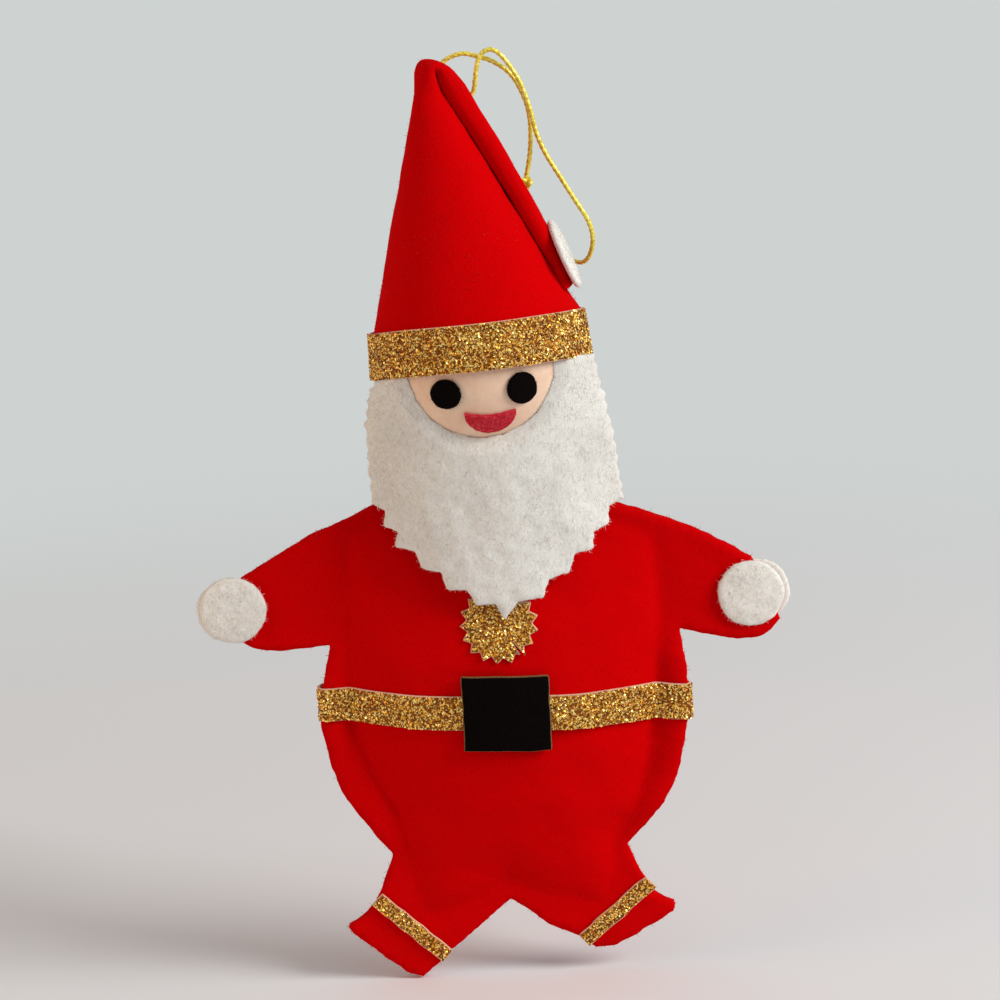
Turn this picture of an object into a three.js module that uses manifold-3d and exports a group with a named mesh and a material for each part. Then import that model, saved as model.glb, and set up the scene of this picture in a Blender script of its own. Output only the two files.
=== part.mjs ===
import * as THREE from 'three';
import { mergeVertices } from 'three/addons/utils/BufferGeometryUtils.js';
import Module from 'manifold-3d';

// Felt Father Christmas ornament with a gold hanging loop.
// Millimetres, +Z up, the front faces -Y. Sizes are set out from the soles (z = 0) and the middle of
// the figure (x = 0); at the end the figure is moved so that the cord's tack is the origin.

// Sheet stock and the air left between two pieces that lie on each other
const FELT = 1.2;
const GLITTER = 0.6;
const FIT = 0.3;

// Body: two felt panels of one cut, glued round their edges over a wadding pad.
// Each corner is [distance from the middle, height above the soles].
const LEFT_CUT = {
  shoulder: [24.5, 99],
  upperArm: [39.9, 92.2],
  wristTop: [52, 85.3],
  wristEnd: [52.6, 72.8],
  wristLow: [50.2, 71.3],
  underArm: [45.3, 70.5],
  armpit: [34.7, 71],
  waist: [37.4, 58],
  belly: [36.6, 50],
  hip: [34.2, 40.8],
  thigh: [29.2, 33],
  ankle: [24.4, 26],
  bootTop: [29.1, 15.3],
  toe: [34.6, 11.4],
  toeEnd: [33.8, 10],
  sole: [23.1, 1],
  soleEnd: [19.7, 0],
  heel: [13.9, 5.1],
  innerLeg: [7.5, 10.4],
};
const RIGHT_CUT = {
  shoulder: [25.4, 96.6],
  upperArm: [38.6, 91.5],
  wristTop: [50.8, 84.3],
  wristEnd: [55.9, 71.7],
  wristLow: [52.9, 68.9],
  underArm: [47, 68.2],
  armpit: [35.7, 70.7],
  waist: [36.9, 58],
  belly: [35.9, 49.1],
  hip: [33.2, 38.9],
  thigh: [28.2, 31.5],
  ankle: [23.1, 25.9],
  bootTop: [27.8, 15.8],
  toe: [32.4, 12.9],
  toeEnd: [32.2, 11.2],
  sole: [20.1, 4.5],
  soleEnd: [15.7, 4.1],
  heel: [12.6, 6.9],
  innerLeg: [6.6, 9.6],
};
const CROTCH = [-1, 15.7];
const NECK_HALF_WIDTH = 8;
const NECK_BASE_Z = 101;
const FRONT_NECK_TOP_Z = 105;
const NECK_TAB_DEPTH = 8.6;

// Wadding: an oval dome under the front panel, the back panel stays flat.
// The panels stay flat round it, this far at the waist and above the crotch. It reaches into the neck.
const PAD_WAIST_FLANGE = 5.9;
const PAD_CROTCH_FLANGE = 2.3;
const PAD_NECK_REACH = 1;
const PAD_RISE = 9;
const PAD_RIM_THICK = 0.6;
const PAD_POINTS = 44;
const PAD_RINGS = 7;

// Flat patch in the middle of the back, where the figure can be stuck down
const BACK_PATCH_Z = 82;
const BACK_PATCH_WIDTH = 30;
const BACK_PATCH_HEIGHT = 16;

// Head: a painted ball on the neck tab
const HEAD_X = -1.5;
const HEAD_Y = -1;
const HEAD_Z = 129.4;
const HEAD_RADIUS = 20;

// Eyes and mouth, set out on the ball from the middle of the face
const EYE_RADIUS = 3.05;
const EYE_THICK = 0.7;
const LEFT_EYE = [-6.9, -4.4];
const RIGHT_EYE = [7.7, -4.1];
const EYE_POINTS = 24;
const MOUTH_MIDDLE = [1.4, -8.9];
const MOUTH_HALF_WIDTH = 5.1;
const MOUTH_CORNER_RISE = 0.7;
const MOUTH_CORNER = 0.3;
const MOUTH_DROP = 4.3;
const MOUTH_STEPS = 14;
const MOUTH_THICK = 0.7;

// Beard: a pinked felt sheet with a round edge to the face, its corners set out from the head's middle
const BEARD_THICK = 1.4;
const FACE_RADIUS = 14.4;
const BEARD_LEFT_TOP = [-20.8, -3.6];
const BEARD_LEFT_BULGE = [-23.7, -12.4];
const BEARD_LEFT_CORNER = [-23.1, -28.4];
const BEARD_LEFT_JAW = [-18.7, -37];
const BEARD_LEFT_CHIN = [-8.9, -45.8];
const BEARD_TIP = [2.2, -52.6];
const BEARD_RIGHT_CHIN = [9.9, -48.6];
const BEARD_RIGHT_JAW = [20.5, -39.6];
const BEARD_RIGHT_CORNER = [27.1, -30.4];
const BEARD_RIGHT_BULGE = [25.7, -16.4];
const BEARD_RIGHT_TOP = [22.4, -0.3];
const BEARD_TOOTH_PITCH = 6;
const BEARD_TOOTH_DEPTH = 2;
const BEARD_SIDE_TOOTH_PITCH = 3;
const BEARD_SIDE_TOOTH_DEPTH = 0.45;
const BEARD_SIDE_SLOPE = 0.8;
const BEARD_ROWS = 6;

// Hat: a felt cone on the head, its tip folded over into a tail behind the right side.
// The brim's drop, the tip's lean and the height are taken from the head's middle.
const BRIM_DROP = 3.2;
const BRIM_FRONT_SLOPE = 0.16;
const BRIM_RIGHT_SLOPE = 0.07;
const HAT_BAND_WIDTH = 9.5;
const HAT_LEAN = -8.4;
const HAT_HEIGHT = 56;
const HAT_TIP_RADIUS = 1.6;
const HAT_TIP_DOME = 2.6;
const HAT_POINTS = 36;
const HAT_RINGS = 9;
const TAIL_TOP_DROP = 3.9;
const TAIL_END_RISE = 6.3;
const TAIL_TOP_WIDTH = 8;
const TAIL_MIDDLE_WIDTH = 10;
const TAIL_END_WIDTH = 8;
const TAIL_THICK = 5;
const TAIL_END_THICK = 1.4;
const TAIL_TOP_STANDOFF = 0.6;
const TAIL_END_STANDOFF = 0.2;
const TAIL_TOP_TURN = 25;
const TAIL_END_TURN = 5;
const TAIL_STEPS = 8;
const TAIL_SIDES = 12;
const FOLD_DROP = 0.8;

// Pompom on the tail's end
const POMPOM_RADIUS = 7;
const POMPOM_THICK = 1.6;
const POMPOM_RISE = 5.4;

// Glitter medallion on the chest
const MEDAL_MIDDLE = [-0.6, 75.5];
const MEDAL_RADIUS = 7.9;
const MEDAL_TEETH = 17;
const MEDAL_TOOTH_DEPTH = 1.1;
const MEDAL_ROWS = 4;

// Belt and buckle
const BELT_Z = 57.4;
const BELT_WIDTH = 7.4;
const BELT_TILT = 2.3;
const BELT_BACK_TAB = 9;
const BELT_STEPS = 28;
const BUCKLE_WIDTH = 17.6;
const BUCKLE_HEIGHT = 16.1;
const BUCKLE_RISE = 0.35;
const BUCKLE_THICK = 1;
const BUCKLE_STEPS = 6;

// Hands: two felt discs with the arm's end between them
const DISC_POINTS = 28;
const HAND_RADIUS = 6.65;
const HAND_THICK = 1.7;
const HAND_CROWN = 0.5;
const LEFT_HAND = [-53.7, 79.5];
const RIGHT_HAND = [50.6, 77.5];
const HAND_BACK_SHIFT = 0.7;
const HAND_BACK_DROP = 1.1;

// Boot bands: straight glitter strips, each from its upper to its lower end
const BOOT_BAND_WIDTH = 3.3;
const LEFT_BOOT_BAND_TOP = [-28.3, 17.2];
const LEFT_BOOT_BAND_END = [-14.6, 4.3];
const RIGHT_BOOT_BAND_TOP = [27.6, 18];
const RIGHT_BOOT_BAND_END = [13.4, 6.1];

// Hanging cord: its middle goes under a sewn tack behind the hat's tip, its ends meet in a knot.
// The routes and the knot are set out from the tack's middle.
const CORD_RADIUS = 0.5;
const TACK_RADIUS = 1.2;
const TACK_LENGTH = 4.6;
const KNOT_RADIUS = 1.3;
const KNOT = [14.4, 0.5, -20.5];
const CORD_SHORT_ROUTE = [
  [-1.7, 0.8, 2.8],
  [-0.3, 0.8, 4.8],
  [1.5, 0.8, 5.7],
  [3.7, 0.8, 6.1],
  [6, 0.8, 5.4],
  [9.1, 0.8, 4.3],
  [12.7, 0.8, 1.5],
  [15, 0.8, -2.9],
  [16, 0.8, -7.2],
  [16, 0.8, -11.7],
  [15.4, 0.8, -16.3],
];
const CORD_LONG_ROUTE = [
  [3.2, -0.6, -3.5],
  [4.9, -0.6, -2.6],
  [5.5, -0.6, 0.2],
  [6.1, -0.6, 3.8],
  [6.9, -0.6, 5.9],
  [8.8, -0.6, 6.9],
  [10.5, -0.6, 6],
  [12.4, -0.6, 3.6],
  [14.4, -0.6, 0],
  [16.1, -0.6, -5.3],
  [17, -0.6, -9.7],
  [18.6, -0.6, -14.1],
  [21.7, -0.6, -19.7],
  [24.6, -0.6, -24.8],
  [26.6, -0.6, -28.3],
  [27.4, 0, -32],
  [26.7, 1.6, -35.6],
  [25, 4.2, -37.6],
  [22.4, 6.8, -36.8],
  [20, 7.8, -33.2],
  [18, 6.4, -28.9],
  [16.5, 3.4, -24.8],
];
const CORD_SIDES = 8;
const CORD_STEP = 1.7;
const SHORT_BIGHT_TURNS = [-9, -35, -65, -90];
const LONG_BIGHT_TURNS = [9, 30, 50];

const wasm = await Module();
wasm.setup();

const vec = (x, y, z) => new THREE.Vector3(x, y, z);
const mix = THREE.MathUtils.lerp;
const radians = THREE.MathUtils.degToRad;

// Triangles gathered into one closed solid whose faces look outwards.
class Skin {
  constructor() {
    this.corners = [];
  }

  triangle(a, b, c) {
    this.corners.push(a.clone(), b.clone(), c.clone());
  }

  // A sheet of rows of points; a ring's rows run back to their first point.
  rows(rows, ring = false) {
    for (let i = 0; i + 1 < rows.length; i += 1) {
      const count = rows[i].length;
      const last = ring ? count : count - 1;
      for (let j = 0; j < last; j += 1) {
        const k = (j + 1) % count;
        this.triangle(rows[i][j], rows[i][k], rows[i + 1][k]);
        this.triangle(rows[i][j], rows[i + 1][k], rows[i + 1][j]);
      }
    }
  }

  // Triangles from a ring to one point.
  fan(ring, tip) {
    ring.forEach((point, j) => this.triangle(point, ring[(j + 1) % ring.length], tip));
  }

  geometry() {
    const loose = new THREE.BufferGeometry().setFromPoints(this.corners);
    const closed = mergeVertices(loose, 1e-4);
    faceOutwards(closed);
    closed.computeVertexNormals();
    return closed;
  }
}

// Turns the triangles so that neighbours agree and the solid's volume is positive.
function faceOutwards(geometry) {
  const index = geometry.getIndex();
  const count = index.count / 3;
  const faces = Array.from({ length: count }, (_, f) => [0, 1, 2].map((k) => index.getX(3 * f + k)));
  const edgesOf = (face) => face.map((from, k) => [from, face[(k + 1) % 3]]);
  const beside = new Map();
  faces.forEach((face, f) => edgesOf(face).forEach(([from, to]) => {
    const key = `${Math.min(from, to)} ${Math.max(from, to)}`;
    beside.set(key, [...(beside.get(key) ?? []), f]);
  }));
  const seen = new Set([0]);
  const waiting = [0];
  while (waiting.length > 0) {
    const here = waiting.pop();
    edgesOf(faces[here]).forEach(([from, to]) => {
      beside.get(`${Math.min(from, to)} ${Math.max(from, to)}`).forEach((next) => {
        if (!seen.has(next)) {
          const agrees = edgesOf(faces[next]).some(([a, b]) => a === to && b === from);
          faces[next] = agrees ? faces[next] : [...faces[next]].reverse();
          seen.add(next);
          waiting.push(next);
        }
      });
    });
  }
  const at = geometry.getAttribute('position');
  const corner = (i) => vec(0, 0, 0).fromBufferAttribute(at, i);
  const volume = faces.reduce((sum, [a, b, c]) => sum + corner(a).dot(corner(b).cross(corner(c))), 0);
  const outwards = volume < 0 ? faces.map((face) => [...face].reverse()) : faces;
  geometry.setIndex(outwards.flat());
}

// An open sheet with two faces and a wall all round its edge.
function sheetSolid(outer, inner) {
  const skin = new Skin();
  const last = outer.length - 1;
  const side = (rows, j) => rows.map((row) => row.at(j));
  skin.rows(outer);
  skin.rows(inner);
  skin.rows([inner[0], outer[0]]);
  skin.rows([inner[last], outer[last]]);
  skin.rows([side(inner, 0), side(outer, 0)]);
  skin.rows([side(inner, -1), side(outer, -1)]);
  return skin.geometry();
}

// A ring-shaped sheet with two faces, open at both ends.
function sleeveSolid(outer, inner) {
  const skin = new Skin();
  skin.rows(outer, true);
  skin.rows(inner, true);
  skin.rows([inner[0], outer[0]], true);
  skin.rows([inner.at(-1), outer.at(-1)], true);
  return skin.geometry();
}

// A hollow cap: open at the first rings, closed by a tip above the last ones.
function capSolid(outer, outerTip, inner, innerTip) {
  const skin = new Skin();
  skin.rows(outer, true);
  skin.fan(outer.at(-1), outerTip);
  skin.rows(inner, true);
  skin.fan(inner.at(-1), innerTip);
  skin.rows([inner[0], outer[0]], true);
  return skin.geometry();
}

// A solid through a row of equal sections, closed at both ends.
function barSolid(sections) {
  const skin = new Skin();
  const middle = (row) => row.reduce((sum, p) => sum.add(p), vec(0, 0, 0)).divideScalar(row.length);
  skin.rows(sections, true);
  skin.fan(sections[0], middle(sections[0]));
  skin.fan(sections.at(-1), middle(sections.at(-1)));
  return skin.geometry();
}

// A flat panel between two depths with a hole in its outline; fill closes the hole at a depth.
function panelSolid(outline, hole, depths, fill) {
  const skin = new Skin();
  const flat = [...outline, ...hole];
  const triangles = THREE.ShapeUtils.triangulateShape(outline, [hole]);
  const edges = depths.map((y) => outline.map((p) => vec(p.x, y, p.y)));
  depths.forEach((y) => {
    triangles.forEach((three) => skin.triangle(...three.map((i) => vec(flat[i].x, y, flat[i].y))));
    fill(skin, y);
  });
  skin.rows(edges, true);
  return skin.geometry();
}

function toManifold(geometry) {
  const bare = geometry.clone();
  bare.deleteAttribute('normal');
  bare.deleteAttribute('uv');
  const merged = mergeVertices(bare, 1e-4);
  return new wasm.Manifold(new wasm.Mesh({
    numProp: 3,
    vertProperties: new Float32Array(merged.getAttribute('position').array),
    triVerts: new Uint32Array(merged.getIndex().array),
  }));
}

function fromManifold(body) {
  const mesh = body.getMesh();
  const geometry = new THREE.BufferGeometry();
  geometry.setAttribute('position', new THREE.BufferAttribute(mesh.vertProperties, 3));
  geometry.setIndex(new THREE.BufferAttribute(mesh.triVerts, 1));
  geometry.computeVertexNormals();
  return geometry;
}

const figure = new THREE.Group();
figure.name = 'figure';
const hangingLoop = new THREE.Group();
hangingLoop.name = 'hanging_loop';

const redFelt = { color: 0xc40808, roughness: 0.95, metalness: 0 };
const whiteFelt = { color: 0xe2ded4, roughness: 0.95, metalness: 0 };
const blackFelt = { color: 0x0c0a0a, roughness: 0.9, metalness: 0 };
const goldGlitter = { color: 0xb8862f, roughness: 0.35, metalness: 0.8 };
const goldCord = { color: 0xd0a830, roughness: 0.3, metalness: 0.9 };
const skinPaint = { color: 0xe9c2a4, roughness: 0.6, metalness: 0 };
const mouthFelt = { color: 0xc42a38, roughness: 0.9, metalness: 0 };
const wadding = { color: 0xf0eee8, roughness: 1, metalness: 0 };
const redThread = { color: 0xa80c10, roughness: 0.8, metalness: 0 };

function place(group, name, geometry, look) {
  const mesh = new THREE.Mesh(geometry, new THREE.MeshStandardMaterial(look));
  mesh.name = name;
  group.add(mesh);
  return mesh;
}

// Places on the head that the pieces round it share
const NECK_TAB_TOP_Z = HEAD_Z - HEAD_RADIUS + NECK_TAB_DEPTH;
const BRIM_Z = HEAD_Z - BRIM_DROP;
const HAT_TIP_X = HEAD_X + HAT_LEAN;
const HAT_TIP_Z = HEAD_Z + HAT_HEIGHT;

// Depths of the flat panels' faces
const FRONT_INNER_Y = -FIT / 2;
const FRONT_OUTER_Y = FRONT_INNER_Y - FELT;
const BACK_INNER_Y = FIT / 2;
const BACK_OUTER_Y = BACK_INNER_Y + FELT;

// The pad's oval
const PAD_TOP_Z = NECK_BASE_Z + PAD_NECK_REACH;
const PAD_BOTTOM_Z = CROTCH[1] + PAD_CROTCH_FLANGE;
const PAD_MIDDLE_Z = (PAD_TOP_Z + PAD_BOTTOM_Z) / 2;
const PAD_HALF_HEIGHT = (PAD_TOP_Z - PAD_BOTTOM_Z) / 2;
const PAD_HALF_WIDTH = Math.min(LEFT_CUT.waist[0], RIGHT_CUT.waist[0]) - PAD_WAIST_FLANGE;

// How far the wadding lifts the front panel at a point.
function padRise(x, z) {
  const share = 1 - (x / PAD_HALF_WIDTH) ** 2 - ((z - PAD_MIDDLE_Z) / PAD_HALF_HEIGHT) ** 2;
  return PAD_RISE * Math.max(0, share);
}

// A point in front of the body, so far off the front panel's outer face.
function onFront(x, z, off) {
  return vec(x, FRONT_OUTER_Y - padRise(x, z) - off, z);
}

// One side of the body's cut, from the neck down to the inner leg.
function sideOutline(cut, neckTop) {
  const point = (name) => new THREE.Vector2(...cut[name]);
  const curve = (names) => new THREE.SplineCurve(names.map(point)).getPoints(4 * (names.length - 1));
  return [
    new THREE.Vector2(NECK_HALF_WIDTH, neckTop),
    new THREE.Vector2(NECK_HALF_WIDTH, NECK_BASE_Z),
    ...curve(['shoulder', 'upperArm', 'wristTop']),
    ...curve(['wristEnd', 'wristLow', 'underArm', 'armpit']),
    ...curve(['armpit', 'waist', 'belly', 'hip', 'thigh', 'ankle']).slice(1),
    ...curve(['ankle', 'bootTop', 'toe']).slice(1),
    point('toeEnd'),
    point('sole'),
    point('soleEnd'),
    point('heel'),
    point('innerLeg'),
  ];
}

function bodyOutline(neckTop) {
  const right = sideOutline(RIGHT_CUT, neckTop);
  const left = sideOutline(LEFT_CUT, neckTop).map((p) => new THREE.Vector2(-p.x, p.y));
  return [...right, new THREE.Vector2(...CROTCH), ...left.reverse()];
}

// Oval rings of the pad from its rim inwards.
function padRing(share) {
  return Array.from({ length: PAD_POINTS }, (_, i) => {
    const turn = (i / PAD_POINTS) * 2 * Math.PI;
    const x = PAD_HALF_WIDTH * share * Math.cos(turn);
    const z = PAD_MIDDLE_Z + PAD_HALF_HEIGHT * share * Math.sin(turn);
    return new THREE.Vector2(x, z);
  });
}

const PAD_SHARES = Array.from({ length: PAD_RINGS }, (_, i) => 1 - i / PAD_RINGS);

// A dome over the pad, raised from a flat depth.
function addDome(skin, depth, shares) {
  const lift = (p) => vec(p.x, depth - padRise(p.x, p.y), p.y);
  const rows = shares.map((share) => padRing(share).map(lift));
  skin.rows(rows, true);
  skin.fan(rows.at(-1), lift(new THREE.Vector2(0, PAD_MIDDLE_Z)));
  return rows;
}

function bodyFront() {
  return panelSolid(
    bodyOutline(FRONT_NECK_TOP_Z),
    padRing(1),
    [FRONT_OUTER_Y, FRONT_INNER_Y],
    (skin, depth) => addDome(skin, depth, PAD_SHARES),
  );
}

function bodyBack() {
  const low = BACK_PATCH_Z - BACK_PATCH_HEIGHT / 2;
  const high = BACK_PATCH_Z + BACK_PATCH_HEIGHT / 2;
  const side = BACK_PATCH_WIDTH / 2;
  const patch = [[-side, low], [side, low], [side, high], [-side, high]];
  return panelSolid(
    bodyOutline(NECK_TAB_TOP_Z),
    patch.map(([x, z]) => new THREE.Vector2(x, z)),
    [BACK_OUTER_Y, BACK_INNER_Y],
    (skin, depth) => {
      const [a, b, c, d] = patch.map(([x, z]) => vec(x, depth, z));
      skin.triangle(a, b, c);
      skin.triangle(a, c, d);
    },
  );
}

// The wadding fills the room under the front panel, down to where it thins out.
function bodyStuffing() {
  const rim = Math.sqrt(1 - (PAD_RIM_THICK + FIT) / PAD_RISE);
  const skin = new Skin();
  const rows = addDome(skin, FRONT_INNER_Y + FIT, PAD_SHARES.map((share) => share * rim));
  const floor = rows[0].map((p) => vec(p.x, FRONT_INNER_Y, p.z));
  skin.rows([floor, rows[0]], true);
  skin.fan(floor, vec(0, FRONT_INNER_Y, PAD_MIDDLE_Z));
  return skin.geometry();
}

// The ball with a slit underneath for the neck tab.
function headBall() {
  const ball = new THREE.SphereGeometry(HEAD_RADIUS, 32, 22);
  ball.rotateX(Math.PI / 2);
  ball.translate(HEAD_X, HEAD_Y, HEAD_Z);
  const depth = NECK_TAB_TOP_Z + FIT - (HEAD_Z - HEAD_RADIUS) + HEAD_RADIUS;
  const slit = new THREE.BoxGeometry(2 * (NECK_HALF_WIDTH + FIT), FELT + 2 * FIT, depth);
  slit.translate(0, (BACK_INNER_Y + BACK_OUTER_Y) / 2, NECK_TAB_TOP_Z + FIT - depth / 2);
  return fromManifold(toManifold(ball).subtract(toManifold(slit)));
}

// A point on the front of the ball, set out from the middle of the face and so far off the paint.
function onBall(x, z, off) {
  const deep = Math.sqrt(Math.max(0, HEAD_RADIUS ** 2 - x ** 2 - z ** 2));
  return vec(x, -deep, z).setLength(HEAD_RADIUS + off).add(vec(HEAD_X, HEAD_Y, HEAD_Z));
}

function eye([x, z]) {
  const ring = (off) => Array.from({ length: EYE_POINTS }, (_, i) => {
    const turn = (i / EYE_POINTS) * 2 * Math.PI;
    return onBall(x + EYE_RADIUS * Math.cos(turn), z + EYE_RADIUS * Math.sin(turn), off);
  });
  const far = FIT + EYE_THICK;
  return capSolid([ring(far)], onBall(x, z, far), [ring(FIT)], onBall(x, z, FIT));
}

// A smile between two arcs that run together at its corners.
function mouth() {
  const [x, z] = MOUTH_MIDDLE;
  const row = (down, off) => Array.from({ length: MOUTH_STEPS + 1 }, (_, i) => {
    const across = mix(-1, 1, i / MOUTH_STEPS);
    const top = MOUTH_CORNER_RISE * across ** 2;
    const bottom = MOUTH_CORNER_RISE - MOUTH_CORNER - MOUTH_DROP * Math.sqrt(1 - across ** 2);
    return onBall(x + MOUTH_HALF_WIDTH * across, z + mix(top, bottom, down), off);
  });
  const rows = (off) => [0, 0.25, 0.5, 0.75, 1].map((down) => row(down, off));
  return sheetSolid(rows(FIT + MOUTH_THICK), rows(FIT));
}

// Points along a line of corners, one at every tooth tip and every notch between two teeth.
// The last corner is left to the line that goes on from there.
function pinked(corners, pitch, depth) {
  const points = [];
  corners.slice(0, -1).forEach((corner, i) => {
    const from = new THREE.Vector2(...corner);
    const to = new THREE.Vector2(...corners[i + 1]);
    const along = to.clone().sub(from);
    const inwards = new THREE.Vector2(-along.y, along.x).normalize();
    const teeth = Math.max(1, Math.round(along.length() / pitch));
    for (let k = 0; k < teeth; k += 1) {
      points.push(from.clone().lerp(to, k / teeth));
      points.push(from.clone().lerp(to, (k + 0.5) / teeth).addScaledVector(inwards, depth));
    }
  });
  return points;
}

// The beard lies round the face and falls from there to the medallion on the chest.
const BEARD_RIM_Y = HEAD_Y - Math.sqrt((HEAD_RADIUS + FIT) ** 2 - FACE_RADIUS ** 2);
const BEARD_TIP_Y = onFront(HEAD_X + BEARD_TIP[0], HEAD_Z + BEARD_TIP[1], 2 * FIT + GLITTER).y;
const BEARD_TIP_AWAY = Math.hypot(...BEARD_TIP) - FACE_RADIUS;
const BEARD_DOWN_SLOPE = (BEARD_TIP_Y - BEARD_RIM_Y) / BEARD_TIP_AWAY;

function beardPoint(x, z, off) {
  const away = Math.hypot(x, z);
  const slope = mix(BEARD_DOWN_SLOPE, BEARD_SIDE_SLOPE, (x / away) ** 2);
  return vec(HEAD_X + x, BEARD_RIM_Y + slope * (away - FACE_RADIUS) - off, HEAD_Z + z);
}

function beard() {
  const leftSide = [BEARD_LEFT_TOP, BEARD_LEFT_BULGE, BEARD_LEFT_CORNER];
  const leftLow = [BEARD_LEFT_CORNER, BEARD_LEFT_JAW, BEARD_LEFT_CHIN, BEARD_TIP];
  const rightLow = [BEARD_TIP, BEARD_RIGHT_CHIN, BEARD_RIGHT_JAW, BEARD_RIGHT_CORNER];
  const rightSide = [BEARD_RIGHT_CORNER, BEARD_RIGHT_BULGE, BEARD_RIGHT_TOP];
  const edge = [
    ...pinked(leftSide, BEARD_SIDE_TOOTH_PITCH, BEARD_SIDE_TOOTH_DEPTH),
    ...pinked(leftLow, BEARD_TOOTH_PITCH, BEARD_TOOTH_DEPTH),
    ...pinked(rightLow, BEARD_TOOTH_PITCH, BEARD_TOOTH_DEPTH),
    ...pinked(rightSide, BEARD_SIDE_TOOTH_PITCH, BEARD_SIDE_TOOTH_DEPTH),
    new THREE.Vector2(...BEARD_RIGHT_TOP),
  ];
  const rows = (off) => Array.from({ length: BEARD_ROWS + 1 }, (_, i) => edge.map((tip) => {
    const p = tip.clone().setLength(FACE_RADIUS).lerp(tip, i / BEARD_ROWS);
    return beardPoint(p.x, p.y, off);
  }));
  return sheetSolid(rows(BEARD_THICK), rows(0));
}

// Rings of the hat. The brim is tilted, and the tilt fades out towards the tip.
const HAT_OUTER_RADIUS = HEAD_RADIUS + FIT + FELT;
const CONE_BASE_Z = BRIM_Z + HAT_BAND_WIDTH;
const TAIL_TOP_Z = HAT_TIP_Z - TAIL_TOP_DROP;
const TAIL_END_Z = CONE_BASE_Z + TAIL_END_RISE;
const POMPOM_Z = TAIL_END_Z + POMPOM_RISE;

function hatRing(radius, x, z, tilt) {
  return Array.from({ length: HAT_POINTS }, (_, i) => {
    const turn = (i / HAT_POINTS) * 2 * Math.PI;
    const across = radius * Math.cos(turn);
    const deep = radius * Math.sin(turn);
    const rise = tilt * (across * BRIM_RIGHT_SLOPE - deep * BRIM_FRONT_SLOPE);
    return vec(x + across, HEAD_Y + deep, z + rise);
  });
}

// The cone's middle and radius at a height.
function coneAt(z) {
  const share = (z - CONE_BASE_Z) / (HAT_TIP_Z - CONE_BASE_Z);
  return {
    x: mix(HEAD_X, HAT_TIP_X, share),
    radius: mix(HAT_OUTER_RADIUS, HAT_TIP_RADIUS, share),
    tilt: 1 - share,
  };
}

// A ring of the cone, so far inside its outer face. The felt rests on the head where the cone would cut it.
function coneRing(z, inside) {
  const { x, radius, tilt } = coneAt(z);
  const head = vec(HEAD_X, HEAD_Y, HEAD_Z);
  const least = HAT_OUTER_RADIUS - inside;
  return hatRing(radius - inside, x, z, tilt).map((point) => {
    const way = point.sub(head);
    return way.setLength(Math.max(way.length(), least)).add(head);
  });
}

// The tail lies beside the cone's right side; share 0 is its top and 1 its end.
function tailAt(share) {
  const z = mix(TAIL_TOP_Z, TAIL_END_Z, share);
  const { x, radius } = coneAt(z);
  const turn = radians(mix(TAIL_TOP_TURN, TAIL_END_TURN, share));
  const thick = mix(TAIL_THICK, TAIL_END_THICK, share ** 3);
  const out = radius + mix(TAIL_TOP_STANDOFF, TAIL_END_STANDOFF, share) + thick / 2;
  const middle = vec(x + out * Math.cos(turn), HEAD_Y + out * Math.sin(turn), z);
  const wide = vec(-Math.sin(turn), Math.cos(turn), 0);
  const bulge = TAIL_MIDDLE_WIDTH - mix(TAIL_TOP_WIDTH, TAIL_END_WIDTH, 0.5);
  const width = mix(TAIL_TOP_WIDTH, TAIL_END_WIDTH, share) + 4 * bulge * share * (1 - share);
  return { middle, wide, width, thick };
}

// The tail's section with its outward direction, from its neighbours along the way.
function tailFrame(share) {
  const here = tailAt(share);
  const step = 0.01;
  const along = tailAt(share + step).middle.sub(tailAt(share - step).middle).normalize();
  const out = along.cross(here.wide).normalize();
  return { ...here, out };
}

// A rounded section, as of a flattened roll of felt.
function tailSection({ middle, wide, width, thick, out }) {
  return Array.from({ length: TAIL_SIDES }, (_, i) => {
    const turn = (i / TAIL_SIDES) * 2 * Math.PI;
    const point = middle.clone().addScaledVector(wide, (width / 2) * Math.cos(turn));
    return point.addScaledVector(out, (thick / 2) * Math.sin(turn));
  });
}

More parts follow.
